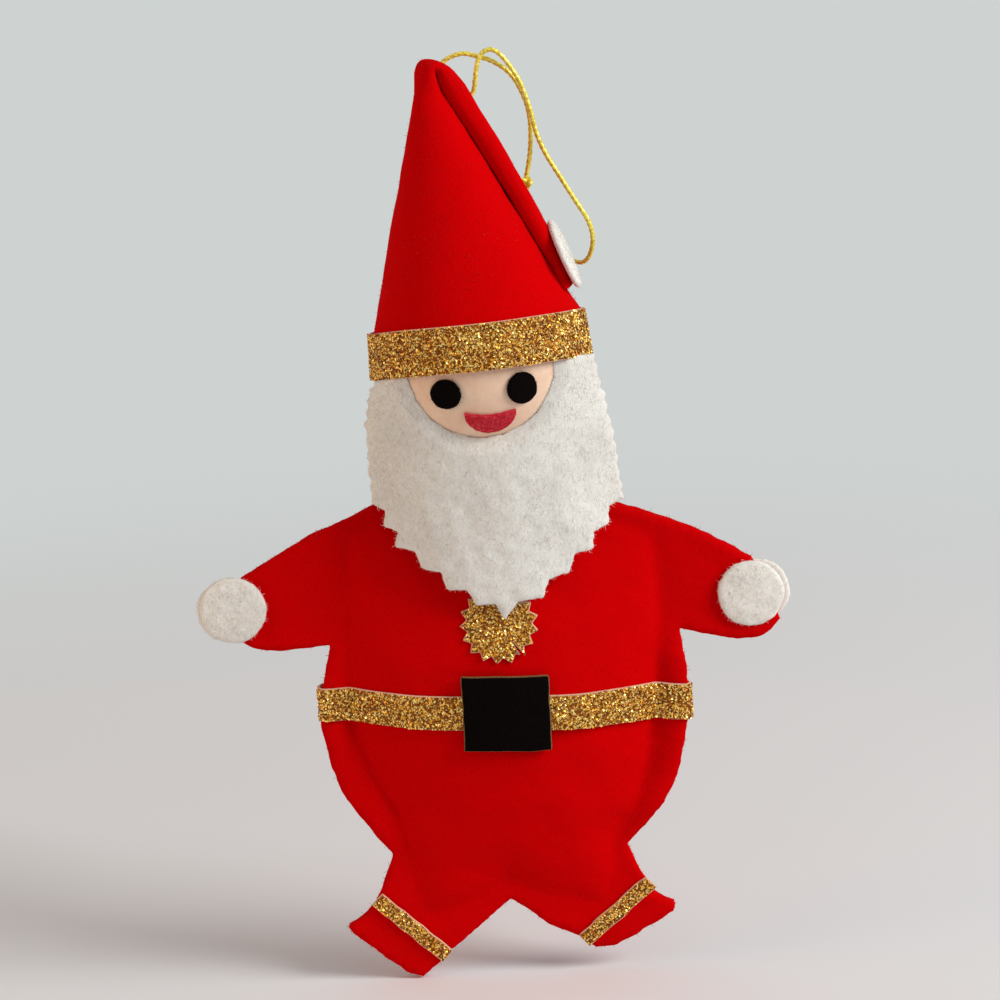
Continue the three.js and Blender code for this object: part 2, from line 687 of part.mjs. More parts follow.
function hat() {
  const wall = FELT;
  const shares = Array.from({ length: HAT_RINGS + 1 }, (_, i) => i / HAT_RINGS);
  const heights = shares.map((share) => mix(CONE_BASE_Z, HAT_TIP_Z, share));
  const dome = [30, 60].map((angle) => hatRing(
    HAT_TIP_RADIUS * Math.cos(radians(angle)),
    HAT_TIP_X,
    HAT_TIP_Z + HAT_TIP_DOME * Math.sin(radians(angle)),
    0,
  ));
  const brim = hatRing(HAT_OUTER_RADIUS, HEAD_X, BRIM_Z, 1);
  const outer = [brim, ...heights.map((z) => coneRing(z, 0)), ...dome];
  const roof = mix(CONE_BASE_Z, HAT_TIP_Z, 1 - wall / (HAT_OUTER_RADIUS - HAT_TIP_RADIUS));
  const inner = [
    hatRing(HAT_OUTER_RADIUS - wall, HEAD_X, BRIM_Z, 1),
    ...heights.slice(0, -1).map((z) => coneRing(z, wall)),
    coneRing(roof, wall),
  ];
  const top = vec(HAT_TIP_X, HEAD_Y, HAT_TIP_Z + HAT_TIP_DOME);
  const cone = capSolid(outer, top, inner, vec(coneAt(roof).x, HEAD_Y, roof + wall));

  const first = tailFrame(0);
  const level = vec(0, 0, 1);
  const foldThick = 2 * HAT_TIP_RADIUS;
  const fold = vec(HAT_TIP_X, HEAD_Y, top.z - foldThick / 2);
  const over = fold.clone().lerp(first.middle, 0.5).setZ(fold.z - FOLD_DROP);
  const slant = level.clone().lerp(first.out, 0.5).normalize();
  const between = { width: mix(foldThick, first.width, 0.5), thick: mix(foldThick, first.thick, 0.5) };
  const steps = Array.from({ length: TAIL_STEPS }, (_, i) => i / (TAIL_STEPS - 1));
  const sections = [
    tailSection({ ...first, middle: fold, width: foldThick, thick: foldThick, out: level }),
    tailSection({ ...first, ...between, middle: over, out: slant }),
    ...steps.map((share) => tailSection(tailFrame(share))),
  ];
  return fromManifold(toManifold(cone).add(toManifold(barSolid(sections))));
}

function hatBand() {
  const inside = HAT_OUTER_RADIUS + FIT;
  const rings = (radius) => [BRIM_Z, CONE_BASE_Z].map((z) => hatRing(radius, HEAD_X, z, 1));
  return sleeveSolid(rings(inside + GLITTER), rings(inside));
}

// A round felt disc, a little domed on its far side, seated at a point and looking along a direction.
function feltDisc(radius, thick, crown, seat, way) {
  const profile = [
    new THREE.Vector2(0, 0),
    new THREE.Vector2(radius - crown, 0),
    new THREE.Vector2(radius, crown),
    new THREE.Vector2(radius, thick - 2 * crown),
    new THREE.Vector2(radius - crown, thick - crown),
    new THREE.Vector2(radius / 2, thick - crown / 4),
    new THREE.Vector2(0, thick),
  ];
  const geometry = new THREE.LatheGeometry(profile, DISC_POINTS);
  const turn = new THREE.Quaternion().setFromUnitVectors(vec(0, 1, 0), way);
  geometry.applyQuaternion(turn);
  geometry.translate(seat.x, seat.y, seat.z);
  return geometry;
}

// The middle of the tail's outer face.
function tailFace(share) {
  const { middle, thick, out } = tailFrame(share);
  return middle.clone().addScaledVector(out, thick / 2);
}

// The pompom lies flat on the tail's outer face.
function pompom() {
  const length = TAIL_TOP_Z - TAIL_END_Z;
  const share = (TAIL_TOP_Z - POMPOM_Z) / length;
  const reach = POMPOM_RISE / (2 * length);
  const along = tailFace(share + reach).sub(tailFace(share - reach)).normalize();
  const out = along.cross(tailFrame(share).wide).normalize();
  const seat = tailFace(share).addScaledVector(out, FIT);
  return feltDisc(POMPOM_RADIUS, POMPOM_THICK, POMPOM_THICK / 4, seat, out);
}

function medallion() {
  const count = 2 * MEDAL_TEETH;
  const ring = (share, off) => Array.from({ length: count }, (_, j) => {
    const reach = share * (MEDAL_RADIUS - (j % 2) * MEDAL_TOOTH_DEPTH);
    const turn = (j / count) * 2 * Math.PI;
    const x = MEDAL_MIDDLE[0] + reach * Math.cos(turn);
    const z = MEDAL_MIDDLE[1] + reach * Math.sin(turn);
    return onFront(x, z, off);
  });
  const rows = (off) => Array.from({ length: MEDAL_ROWS }, (_, i) => ring(1 - i / MEDAL_ROWS, off));
  const outer = rows(FIT + GLITTER);
  const inner = rows(FIT);
  const middle = (off) => onFront(...MEDAL_MIDDLE, off);
  return capSolid(outer, middle(FIT + GLITTER), inner, middle(FIT));
}

// The belt runs across the front and round both edges of the body on to its back.
const BELT_SLOPE = Math.tan(radians(BELT_TILT));

// Half the body's width on one side, where the belt crosses it.
function bodyReach(side) {
  const heights = [-1, 0, 1].map((k) => BELT_Z + (k * BELT_WIDTH) / 2);
  const outline = bodyOutline(FRONT_NECK_TOP_Z);
  let reach = 0;
  outline.forEach((from, i) => {
    const to = outline[(i + 1) % outline.length];
    const drop = side * PAD_HALF_WIDTH * BELT_SLOPE;
    heights.forEach((height) => {
      const z = height - drop;
      const share = (z - from.y) / (to.y - from.y);
      const crosses = Number.isFinite(share) && share >= 0 && share <= 1;
      const x = side * mix(from.x, to.x, crosses ? share : 0);
      if (crosses && x > reach) {
        reach = x;
      }
    });
  });
  return reach;
}

function belt() {
  const ends = [-1, 1].map((side) => side * (bodyReach(side) + FIT));
  const row = (edge, off) => {
    const at = (x) => BELT_Z - x * BELT_SLOPE + edge;
    const back = BACK_OUTER_Y + FIT + off;
    const [left, right] = [ends[0] - off, ends[1] + off];
    const behind = (x) => vec(x, back, at(x));
    const across = Array.from({ length: BELT_STEPS + 1 }, (_, i) => mix(left, right, i / BELT_STEPS));
    return [
      behind(ends[0] + BELT_BACK_TAB),
      behind(left),
      ...across.map((x) => onFront(x, at(x), FIT + off)),
      behind(right),
      behind(ends[1] - BELT_BACK_TAB),
    ];
  };
  const edges = [-BELT_WIDTH / 2, 0, BELT_WIDTH / 2];
  return sheetSolid(edges.map((edge) => row(edge, GLITTER)), edges.map((edge) => row(edge, 0)));
}

function buckle() {
  const off = 2 * FIT + GLITTER;
  const rows = (lift) => Array.from({ length: BUCKLE_STEPS + 1 }, (_, i) => {
    const z = BELT_Z + BUCKLE_RISE + mix(-0.5, 0.5, i / BUCKLE_STEPS) * BUCKLE_HEIGHT;
    return Array.from({ length: BUCKLE_STEPS + 1 }, (__, j) => {
      const x = mix(-0.5, 0.5, j / BUCKLE_STEPS) * BUCKLE_WIDTH;
      return onFront(x, z - x * BELT_SLOPE, lift);
    });
  });
  return sheetSolid(rows(off + BUCKLE_THICK), rows(off));
}

function hand([x, z], shift, way) {
  const depth = way < 0 ? FRONT_OUTER_Y - FIT : BACK_OUTER_Y + FIT;
  const drop = way < 0 ? 0 : HAND_BACK_DROP;
  return feltDisc(HAND_RADIUS, HAND_THICK, HAND_CROWN, vec(x + shift, depth, z - drop), vec(0, way, 0));
}

// A shape drawn in x and z, given a thickness towards the front.
function cutout(shape, thick) {
  const geometry = new THREE.ExtrudeGeometry(shape, { depth: thick, bevelEnabled: false });
  geometry.rotateX(Math.PI / 2);
  return geometry;
}

// A straight glitter strip on the flat part of the front panel.
function bootBand(top, end) {
  const from = new THREE.Vector2(...top);
  const to = new THREE.Vector2(...end);
  const along = to.clone().sub(from).normalize();
  const across = new THREE.Vector2(-along.y, along.x).multiplyScalar(BOOT_BAND_WIDTH / 2);
  const corners = [
    from.clone().add(across),
    to.clone().add(across),
    to.clone().sub(across),
    from.clone().sub(across),
  ];
  const strip = cutout(new THREE.Shape(corners), GLITTER);
  strip.translate(0, FRONT_OUTER_Y - FIT, 0);
  return strip;
}

// The tack stands behind the tail's top; the cord lies round its underside.
const TAIL_TOP = tailFrame(0);
const TACK_SEAT = TAIL_TOP.middle.clone().addScaledVector(TAIL_TOP.wide, TAIL_TOP.width / 2);
const TACK_MIDDLE = TACK_SEAT.clone().add(vec(0, FIT + TACK_LENGTH / 2, 0));
const BIGHT_RADIUS = TACK_RADIUS + FIT + CORD_RADIUS;

function cordTack() {
  const tack = new THREE.CylinderGeometry(TACK_RADIUS, TACK_RADIUS, TACK_LENGTH, 2 * CORD_SIDES);
  tack.translate(...TACK_MIDDLE);
  return tack;
}

// A point given by its way from the tack's middle.
function fromTack([x, y, z]) {
  return vec(x, y, z).add(TACK_MIDDLE);
}

// A round cord along a line of points.
function cordTube(points) {
  const path = new THREE.CatmullRomCurve3(points, false, 'centripetal');
  const steps = Math.round(path.getLength() / CORD_STEP);
  const ring = new THREE.Shape().absarc(0, 0, CORD_RADIUS, 0, 2 * Math.PI);
  const round = new THREE.Shape(ring.getSpacedPoints(CORD_SIDES).slice(0, -1));
  return new THREE.ExtrudeGeometry(round, { steps, extrudePath: path, bevelEnabled: false });
}

// A point of the cord beside the tack, turned from straight below it.
function bightPoint(turn, depth) {
  const angle = radians(turn);
  return fromTack([BIGHT_RADIUS * Math.sin(angle), depth, -BIGHT_RADIUS * Math.cos(angle)]);
}

// One strand: from a little beside the bight's lowest point, along its route and up to the knot.
function cordStrand(route, other, turns) {
  const depth = route[0][1];
  const shared = mix(depth, other[0][1], 0.5);
  const bight = turns.map((turn) => bightPoint(turn, mix(shared, depth, turn / turns.at(-1))));
  const line = route.map(fromTack);
  const knot = fromTack(KNOT);
  const arrival = line.at(-1).clone().sub(knot).setLength(KNOT_RADIUS + FIT).add(knot);
  return cordTube([...bight, ...line, arrival]);
}

function cordKnot() {
  const knot = new THREE.SphereGeometry(KNOT_RADIUS, 12, 8);
  knot.translate(...fromTack(KNOT));
  return knot;
}

place(figure, 'body_front', bodyFront(), redFelt);
place(figure, 'body_back', bodyBack(), redFelt);
place(figure, 'body_stuffing', bodyStuffing(), wadding);
place(figure, 'head_ball', headBall(), skinPaint);
place(figure, 'left_eye', eye(LEFT_EYE), blackFelt);
place(figure, 'right_eye', eye(RIGHT_EYE), blackFelt);
place(figure, 'mouth', mouth(), mouthFelt);
place(figure, 'beard', beard(), whiteFelt);
place(figure, 'hat', hat(), redFelt);
place(figure, 'hat_band', hatBand(), goldGlitter);
place(figure, 'hat_pompom', pompom(), whiteFelt);
place(figure, 'medallion', medallion(), goldGlitter);
place(figure, 'belt', belt(), goldGlitter);
place(figure, 'buckle', buckle(), blackFelt);
place(figure, 'left_hand_front', hand(LEFT_HAND, 0, -1), whiteFelt);
place(figure, 'left_hand_back', hand(LEFT_HAND, -HAND_BACK_SHIFT, 1), whiteFelt);
place(figure, 'right_hand_front', hand(RIGHT_HAND, 0, -1), whiteFelt);
place(figure, 'right_hand_back', hand(RIGHT_HAND, HAND_BACK_SHIFT, 1), whiteFelt);
place(figure, 'left_boot_band', bootBand(LEFT_BOOT_BAND_TOP, LEFT_BOOT_BAND_END), goldGlitter);
place(figure, 'right_boot_band', bootBand(RIGHT_BOOT_BAND_TOP, RIGHT_BOOT_BAND_END), goldGlitter);
place(figure, 'cord_tack', cordTack(), redThread);
const shortStrand = cordStrand(CORD_SHORT_ROUTE, CORD_LONG_ROUTE, SHORT_BIGHT_TURNS);
const longStrand = cordStrand(CORD_LONG_ROUTE, CORD_SHORT_ROUTE, LONG_BIGHT_TURNS);
place(hangingLoop, 'cord_short_strand', shortStrand, goldCord);
place(hangingLoop, 'cord_long_strand', longStrand, goldCord);
place(hangingLoop, 'cord_knot', cordKnot(), goldCord);

const ornament = new THREE.Group();
ornament.name = 'felt_santa_ornament';
[figure, hangingLoop].forEach((group) => {
  group.position.copy(TACK_MIDDLE).negate();
  ornament.add(group);
});

export default ornament;
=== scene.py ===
import math

import bmesh
import bpy
import numpy as np
from mathutils import Matrix, Vector
from mathutils.bvhtree import BVHTree
from mathutils.geometry import delaunay_2d_cdt


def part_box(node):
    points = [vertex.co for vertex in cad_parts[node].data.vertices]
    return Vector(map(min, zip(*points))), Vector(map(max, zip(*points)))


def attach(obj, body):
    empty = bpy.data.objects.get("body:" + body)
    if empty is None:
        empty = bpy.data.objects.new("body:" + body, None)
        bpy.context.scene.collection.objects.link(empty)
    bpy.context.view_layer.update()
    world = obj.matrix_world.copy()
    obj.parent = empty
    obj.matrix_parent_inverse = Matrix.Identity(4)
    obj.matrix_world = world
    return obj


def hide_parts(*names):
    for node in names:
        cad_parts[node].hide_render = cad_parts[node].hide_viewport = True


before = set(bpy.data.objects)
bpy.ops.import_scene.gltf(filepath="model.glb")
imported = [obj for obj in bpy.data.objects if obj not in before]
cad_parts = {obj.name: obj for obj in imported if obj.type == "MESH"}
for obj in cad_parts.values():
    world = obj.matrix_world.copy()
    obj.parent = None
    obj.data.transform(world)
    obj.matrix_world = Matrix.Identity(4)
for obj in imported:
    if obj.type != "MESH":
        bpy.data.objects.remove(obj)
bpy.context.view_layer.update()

# Lengths below are millimetres, set out as in the CAD part: x = 0 in the middle of the figure,
# z = 0 at the soles, the front faces -y. The head ball ties them to the frame's metres.
MM = 0.001
HEAD = np.array([-1.5, -1.0, 129.4])
HEAD_RADIUS = 20.0
ball_low, ball_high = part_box("head_ball")
HEAD_IN_FRAME = np.array((ball_low + ball_high) / 2)
TACK = HEAD - HEAD_IN_FRAME / MM

FELT = 1.2
GLITTER = 0.6
FIT = 0.3


def in_frame(points):
    """Millimetres of the part as metres of the frame."""
    return (np.asarray(points, float) - HEAD) * MM + HEAD_IN_FRAME


# Camera, its distances in metres and its aim in millimetres of the part
CAMERA_AIM = np.array([0.93, 0.0, 98.8])
CAMERA_ELEVATION = math.radians(13)
CAMERA_ROLL = math.radians(3)
CAMERA_AWAY = 0.9
CAMERA_LENS = 162
CAMERA_SENSOR = 36
CAMERA_CLIP = 0.01


def linked(name, data):
    """A new object in the scene."""
    thing = bpy.data.objects.new(name, data)
    bpy.context.scene.collection.objects.link(thing)
    return thing


def make_camera():
    rise, roll = CAMERA_ELEVATION, CAMERA_ROLL
    ahead = Vector((0, math.cos(rise), -math.sin(rise)))
    level_up = Vector((0, math.sin(rise), math.cos(rise)))
    right = math.cos(roll) * Vector((1, 0, 0)) - math.sin(roll) * level_up
    up = math.sin(roll) * Vector((1, 0, 0)) + math.cos(roll) * level_up
    place = Vector(in_frame(CAMERA_AIM)) - CAMERA_AWAY * ahead
    data = bpy.data.cameras.new("camera")
    data.lens = CAMERA_LENS
    data.sensor_width = CAMERA_SENSOR
    data.clip_start = CAMERA_CLIP
    camera = linked("camera", data)
    turn = Matrix((right, up, -ahead)).transposed().to_4x4()
    camera.matrix_world = Matrix.Translation(place) @ turn
    bpy.context.scene.camera = camera


make_camera()
bpy.context.scene.view_settings.view_transform = "Standard"


# Materials
FELT_ROUGHNESS = 0.95


def srgb(red, green, blue):
    """A colour given in 0 to 255 as shader values."""
    parts = np.array([red, green, blue]) / 255
    linear = np.where(parts <= 0.04045, parts / 12.92, ((parts + 0.055) / 1.055) ** 2.4)
    return (*linear.tolist(), 1.0)


class Look:
    """A principled material and the few nodes that pattern it."""

    def __init__(self, name, colour, roughness, metallic=0.0):
        self.material = bpy.data.materials.new(name)
        self.material.use_nodes = True
        self.nodes = self.material.node_tree.nodes
        self.links = self.material.node_tree.links
        self.shader = self.nodes["Principled BSDF"]
        self.set("Base Color", colour)
        self.set("Roughness", roughness)
        self.set("Metallic", metallic)
        self.material.diffuse_color = colour

    def set(self, socket, value):
        self.shader.inputs[socket].default_value = value

    def noise(self, size, stretch=(1, 1, 1), detail=4.0, roughness=0.6, distortion=0.0):
        """Noise whose blots are about so many millimetres across."""
        coordinates = self.nodes.new("ShaderNodeTexCoord")
        mapping = self.nodes.new("ShaderNodeMapping")
        mapping.inputs["Scale"].default_value = stretch
        texture = self.nodes.new("ShaderNodeTexNoise")
        scale = 1 / (size * MM)
        settings = {"Scale": scale, "Detail": detail, "Roughness": roughness, "Distortion": distortion}
        for socket, value in settings.items():
            texture.inputs[socket].default_value = value
        self.links.new(coordinates.outputs["Object"], mapping.inputs["Vector"])
        self.links.new(mapping.outputs["Vector"], texture.inputs["Vector"])
        return texture.outputs["Fac"]

    def ramp(self, value, stops):
        ramp = self.nodes.new("ShaderNodeValToRGB")
        elements = ramp.color_ramp.elements
        while len(elements) < len(stops):
            elements.new(0.5)
        for element, (position, colour) in zip(elements, stops):
            element.position = position
            element.color = colour
        self.links.new(value, ramp.inputs["Fac"])
        return ramp.outputs["Color"]

    def multiplied(self, share, first, second):
        """A colour multiplied by a share of another."""
        mix = self.nodes.new("ShaderNodeMixRGB")
        mix.blend_type = "MULTIPLY"
        mix.inputs["Fac"].default_value = share
        self.links.new(first, mix.inputs["Color1"])
        self.links.new(second, mix.inputs["Color2"])
        return mix.outputs["Color"]

    def fade(self, near, far):
        """Solid up to one distance from the object's middle and clear beyond another, in metres."""
        coordinates = self.nodes.new("ShaderNodeTexCoord")
        length = self.nodes.new("ShaderNodeVectorMath")
        length.operation = "LENGTH"
        spread = self.nodes.new("ShaderNodeMapRange")
        spread.interpolation_type = "SMOOTHSTEP"
        for socket, value in (("From Min", near), ("From Max", far), ("To Min", 1.0), ("To Max", 0.0)):
            spread.inputs[socket].default_value = value
        self.links.new(coordinates.outputs["Object"], length.inputs[0])
        self.links.new(length.outputs["Value"], spread.inputs["Value"])
        self.links.new(spread.outputs["Result"], self.shader.inputs["Alpha"])

    def colour(self, output):
        self.links.new(output, self.shader.inputs["Base Color"])

    def bump(self, height, strength, depth):
        """Roughness of so many millimetres on the surface."""
        bump = self.nodes.new("ShaderNodeBump")
        bump.inputs["Strength"].default_value = strength
        bump.inputs["Distance"].default_value = depth * MM
        self.links.new(height, bump.inputs["Height"])
        self.links.new(bump.outputs["Normal"], self.shader.inputs["Normal"])


def felt_look(name, colour, sheen, sheen_roughness, sheen_tint, shine):
    look = Look(name, colour, FELT_ROUGHNESS)
    look.set("Sheen Weight", sheen)
    look.set("Sheen Roughness", sheen_roughness)
    look.set("Sheen Tint", sheen_tint)
    look.set("Specular IOR Level", shine)
    return look


def felt(name, dark, middle, light, sheen, sheen_tint, grain=0.5, depth=0.25, shine=0.1, rough=0.55):
    """Matt felt with mottled colour, a fibrous surface and a soft sheen."""
    look = felt_look(name, middle, sheen, 0.45, sheen_tint, shine)
    fibres = look.noise(grain, detail=8.0, roughness=0.72, distortion=1.2)
    look.colour(look.ramp(fibres, [(0.3, dark), (0.5, middle), (0.72, light)]))
    look.bump(fibres, rough, depth)
    return look.material


def white_felt(name, dark, middle, light):
    """White felt of fine matted fibres, with small grey shadows between them."""
    look = felt_look(name, middle, 0.2, 0.5, srgb(255, 252, 245), 0.1)
    strands = look.noise(0.6, stretch=(1.0, 1.0, 0.6), detail=8.0, roughness=0.75, distortion=1.2)
    patches = look.noise(10.0, detail=2.0)
    base = look.ramp(strands, [(0.3, dark), (0.43, middle), (0.6, light)])
    tint = look.ramp(patches, [(0.42, srgb(255, 255, 255)), (0.64, srgb(244, 242, 241))])
    look.colour(look.multiplied(0.8, base, tint))
    look.bump(strands, 0.6, 0.3)
    return look.material


RED = felt(
    "red_felt", srgb(189, 0, 2), srgb(204, 0, 3), srgb(214, 1, 6),
    0.12, srgb(255, 24, 30), depth=0.18, shine=0.02, rough=0.4,
)
BLACK = felt(
    "black_felt", srgb(4, 2, 2), srgb(9, 5, 5), srgb(17, 11, 11),
    0.03, srgb(120, 90, 90), shine=0.04,
)
ROSE = felt(
    "mouth_felt", srgb(150, 14, 34), srgb(198, 36, 52), srgb(228, 96, 100),
    0.1, srgb(255, 160, 160), grain=0.7,
)
WHITE = white_felt("white_felt", srgb(194, 190, 181), srgb(229, 226, 218), srgb(242, 241, 236))
HAND_WHITE = white_felt("hand_felt", srgb(192, 187, 176), srgb(236, 232, 223), srgb(250, 248, 242))
WADDING = felt(
    "wadding", srgb(215, 213, 206), srgb(238, 236, 230), srgb(248, 247, 244),
    0.2, srgb(255, 255, 255), grain=1.5, depth=0.6,
)


def skin_paint():
    look = Look("skin_paint", srgb(240, 206, 178), 0.6)
    look.set("Specular IOR Level", 0.3)
    look.set("Subsurface Weight", 0.08)
    look.set("Subsurface Scale", 0.001)
    blots = look.noise(3.0, detail=5.0)
    look.colour(look.ramp(blots, [(0.35, srgb(236, 199, 170)), (0.65, srgb(245, 213, 187))]))
    look.bump(look.noise(0.5, detail=5.0), 0.25, 0.08)
    return look.material


def glitter_base():
    look = Look("glitter_base", srgb(128, 78, 18), 0.45, 0.6)
    grains = look.noise(0.4, detail=6.0, roughness=0.8)
    stops = [(0.35, srgb(60, 28, 3)), (0.5, srgb(138, 74, 10)), (0.66, srgb(230, 158, 50))]
    look.colour(look.ramp(grains, stops))
    look.bump(grains, 0.8, 0.2)
    return look.material


def cord_gold():
    look = Look("cord_gold", srgb(240, 222, 72), 0.34, 0.3)
    strands = look.noise(0.4, detail=3.0)
    stops = [(0.34, srgb(196, 164, 30)), (0.5, srgb(240, 222, 66)), (0.68, srgb(255, 248, 160))]
    look.colour(look.ramp(strands, stops))
    return look.material


def plain(name, colour, roughness, metallic=0.0):
    return Look(name, colour, roughness, metallic).material


SKIN = skin_paint()
GLITTER_BASE = glitter_base()
GLITTER_EDGE = felt(
    "glitter_edge", srgb(196, 146, 116), srgb(222, 178, 150), srgb(238, 204, 182),
    0.1, srgb(255, 255, 255), grain=0.4,
)
GLITTER_SHEET = [GLITTER_BASE, GLITTER_EDGE]
FLAKE_LOOKS = [
    plain("flake_bright", srgb(255, 226, 132), 0.3, 0.45),
    plain("flake_gold", srgb(244, 178, 54), 0.34, 0.5),
    plain("flake_brown", srgb(140, 68, 8), 0.4, 0.65),
]
CORD_GOLD = cord_gold()
THREAD = felt(
    "red_thread", srgb(120, 4, 8), srgb(160, 10, 16), srgb(190, 26, 30),
    0.1, srgb(255, 120, 120), grain=0.25, depth=0.08,
)
CARD_EDGE = felt(
    "buckle_edge", srgb(60, 44, 26), srgb(104, 80, 48), srgb(150, 120, 78),
    0.1, srgb(255, 230, 190), grain=0.3, depth=0.1,
)
RED_FIBRE = plain("red_fibre", srgb(204, 4, 8), 0.9)
WHITE_FIBRE = plain("white_fibre", srgb(236, 233, 226), 0.8)
BLACK_FIBRE = plain("black_fibre", srgb(22, 19, 19), 0.8)
STRAY_FIBRE = plain("stray_fibre", srgb(84, 8, 14), 0.8)


# Meshes
def dress(mesh, materials, indices, smooth):
    """Gives a mesh its materials, by their numbers on the faces."""
    for material in materials:
        mesh.materials.append(material)
    mesh.polygons.foreach_set("material_index", np.asarray(indices, np.int32))
    mesh.polygons.foreach_set("use_smooth", np.full(len(mesh.polygons), smooth))


def link_mesh(name, points, faces, materials, indices=None):
    """A smooth mesh object from part points and faces, turned outwards."""
    mesh = bpy.data.meshes.new(name)
    mesh.from_pydata(in_frame(points).tolist(), [], [tuple(int(i) for i in f) for f in faces])
    dress(mesh, materials, np.zeros(len(faces)) if indices is None else indices, True)
    shape = bmesh.new()
    shape.from_mesh(mesh)
    bmesh.ops.recalc_face_normals(shape, faces=shape.faces)
    shape.to_mesh(mesh)
    shape.free()
    mesh.update()
    return linked(name, mesh)


def stand_for(thing, slot, *nodes, body="figure"):
    """The piece rides on a body in the place of CAD nodes; its slot is not used."""
    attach(thing, body)
    if nodes:
        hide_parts(*nodes)


def spline(corners, steps):
    """A smooth line through the corners."""
    corners = np.array(corners, float)
    last = len(corners) - 1
    line = []
    for i in range(last):
        a, b = corners[max(i - 1, 0)], corners[i]
        c, d = corners[i + 1], corners[min(i + 2, last)]
        enter, leave = (c - a) / 2, (d - b) / 2
        for t in np.arange(steps) / steps:
            cubic = (2 * b - 2 * c + enter + leave) * t**3
            square = (3 * c - 3 * b - 2 * enter - leave) * t**2
            line.append(cubic + square + enter * t + b)
    line.append(corners[last])
    return np.array(line)


def respaced(line, spacing, closed=False):
    """Points at even distances along a line."""
    line = np.vstack([line, line[:1]]) if closed else np.asarray(line, float)
    lengths = np.linalg.norm(np.diff(line, axis=0), axis=1)
    travelled = np.concatenate([[0], np.cumsum(lengths)])
    count = max(2, int(round(travelled[-1] / spacing)))
    stops = np.linspace(0, travelled[-1], count + 1)
    if closed:
        stops = stops[:-1]
    return np.column_stack([np.interp(stops, travelled, column) for column in line.T])


RIPPLE_WAVES = 7


def ripple(points, size, seed):
    """Smooth unevenness between about -1 and 1, with swells of about the given size."""
    points = np.asarray(points, float)
    rng = np.random.default_rng(seed)
    total = np.zeros(len(points))
    for _ in range(RIPPLE_WAVES):
        way = rng.normal(size=points.shape[1])
        way *= 2 * math.pi / (size * rng.uniform(0.7, 1.6) * np.linalg.norm(way))
        total += np.sin(points @ way + rng.uniform(0, 2 * math.pi))
    return total / math.sqrt(RIPPLE_WAVES)


def swells(points, kinds):
    """Unevenness of several kinds, each with its depth, size and seed."""
    return sum(depth * ripple(points, size, seed) for depth, size, seed in kinds)


def outward(outline):
    """Unit normals of a closed flat outline, pointing out of it."""
    tangent = np.roll(outline, -1, axis=0) - np.roll(outline, 1, axis=0)
    normal = np.column_stack([tangent[:, 1], -tangent[:, 0]])
    normal /= np.maximum(np.linalg.norm(normal, axis=1, keepdims=True), 1e-9)
    x, z = outline.T
    turn = np.sum(x * np.roll(z, -1) - np.roll(x, -1) * z)
    return normal if turn > 0 else -normal


def inside(points, outline):
    """Which flat points lie within a closed outline."""
    found = np.zeros(len(points), bool)
    for a, b in zip(outline, np.roll(outline, -1, axis=0)):
        crosses = (a[1] > points[:, 1]) != (b[1] > points[:, 1])
        rise = b[1] - a[1] if b[1] != a[1] else 1e-12
        at = a[0] + (points[:, 1] - a[1]) * (b[0] - a[0]) / rise
        found ^= crosses & (points[:, 0] < at)
    return found


def edge_distance(points, outline):
    """How far flat points are from a closed outline."""
    nearest = np.full(len(points), 1e9)
    for a, b in zip(outline, np.roll(outline, -1, axis=0)):
        side = b - a
        share = np.clip((points - a) @ side / max(side @ side, 1e-12), 0, 1)
        nearest = np.minimum(nearest, np.linalg.norm(points - a - share[:, None] * side, axis=1))
    return nearest


# A lattice's rows lie this share of its spacing apart, and it stays this share of it off the rim
ROW_SHARE = 0.866
RIM_CLEAR = 0.6


def filled(outline, spacing):
    """Points and triangles that fill a closed flat outline; the outline's points come first."""
    low, high = outline.min(0), outline.max(0)
    lattice = []
    for row, z in enumerate(np.arange(low[1], high[1], spacing * ROW_SHARE)):
        xs = np.arange(low[0], high[0], spacing) + (row % 2) * spacing / 2
        lattice.append(np.column_stack([xs, np.full(len(xs), z)]))
    lattice = np.vstack(lattice)
    lattice = lattice[inside(lattice, outline)]
    lattice = lattice[edge_distance(lattice, outline) > RIM_CLEAR * spacing]
    points = np.vstack([outline, lattice])
    count = len(outline)
    rim = [(i, (i + 1) % count) for i in range(count)]
    found = delaunay_2d_cdt([Vector(p) for p in points], rim, [], 1, 1e-6)
    return np.array(found[0], float), np.array([tuple(f) for f in found[2]], int)


# A cut edge from front to back: how far out it lies, and at which share of the thickness
RIM_SHAPE = [(-0.22, 1.0), (-0.05, 0.82), (0.04, 0.5), (-0.05, 0.18), (-0.22, 0.0)]


def strip_faces(line, other, closed=True):
    """The faces between two rows of points, which may run round to their start."""
    count = len(line)
    last = count if closed else count - 1
    return [(line[j], line[(j + 1) % count], other[(j + 1) % count], other[j]) for j in range(last)]


def ring_faces(rows, count):
    """The faces between rings of points that follow each other."""
    at = np.arange(rows * count).reshape(rows, count)
    return [face for line, other in zip(at, at[1:]) for face in strip_faces(line, other)]


def halves(faces):
    """The two triangles of each four-sided face."""
    return np.array([t for f in faces for t in ((f[0], f[1], f[2]), (f[0], f[2], f[3]))], int)


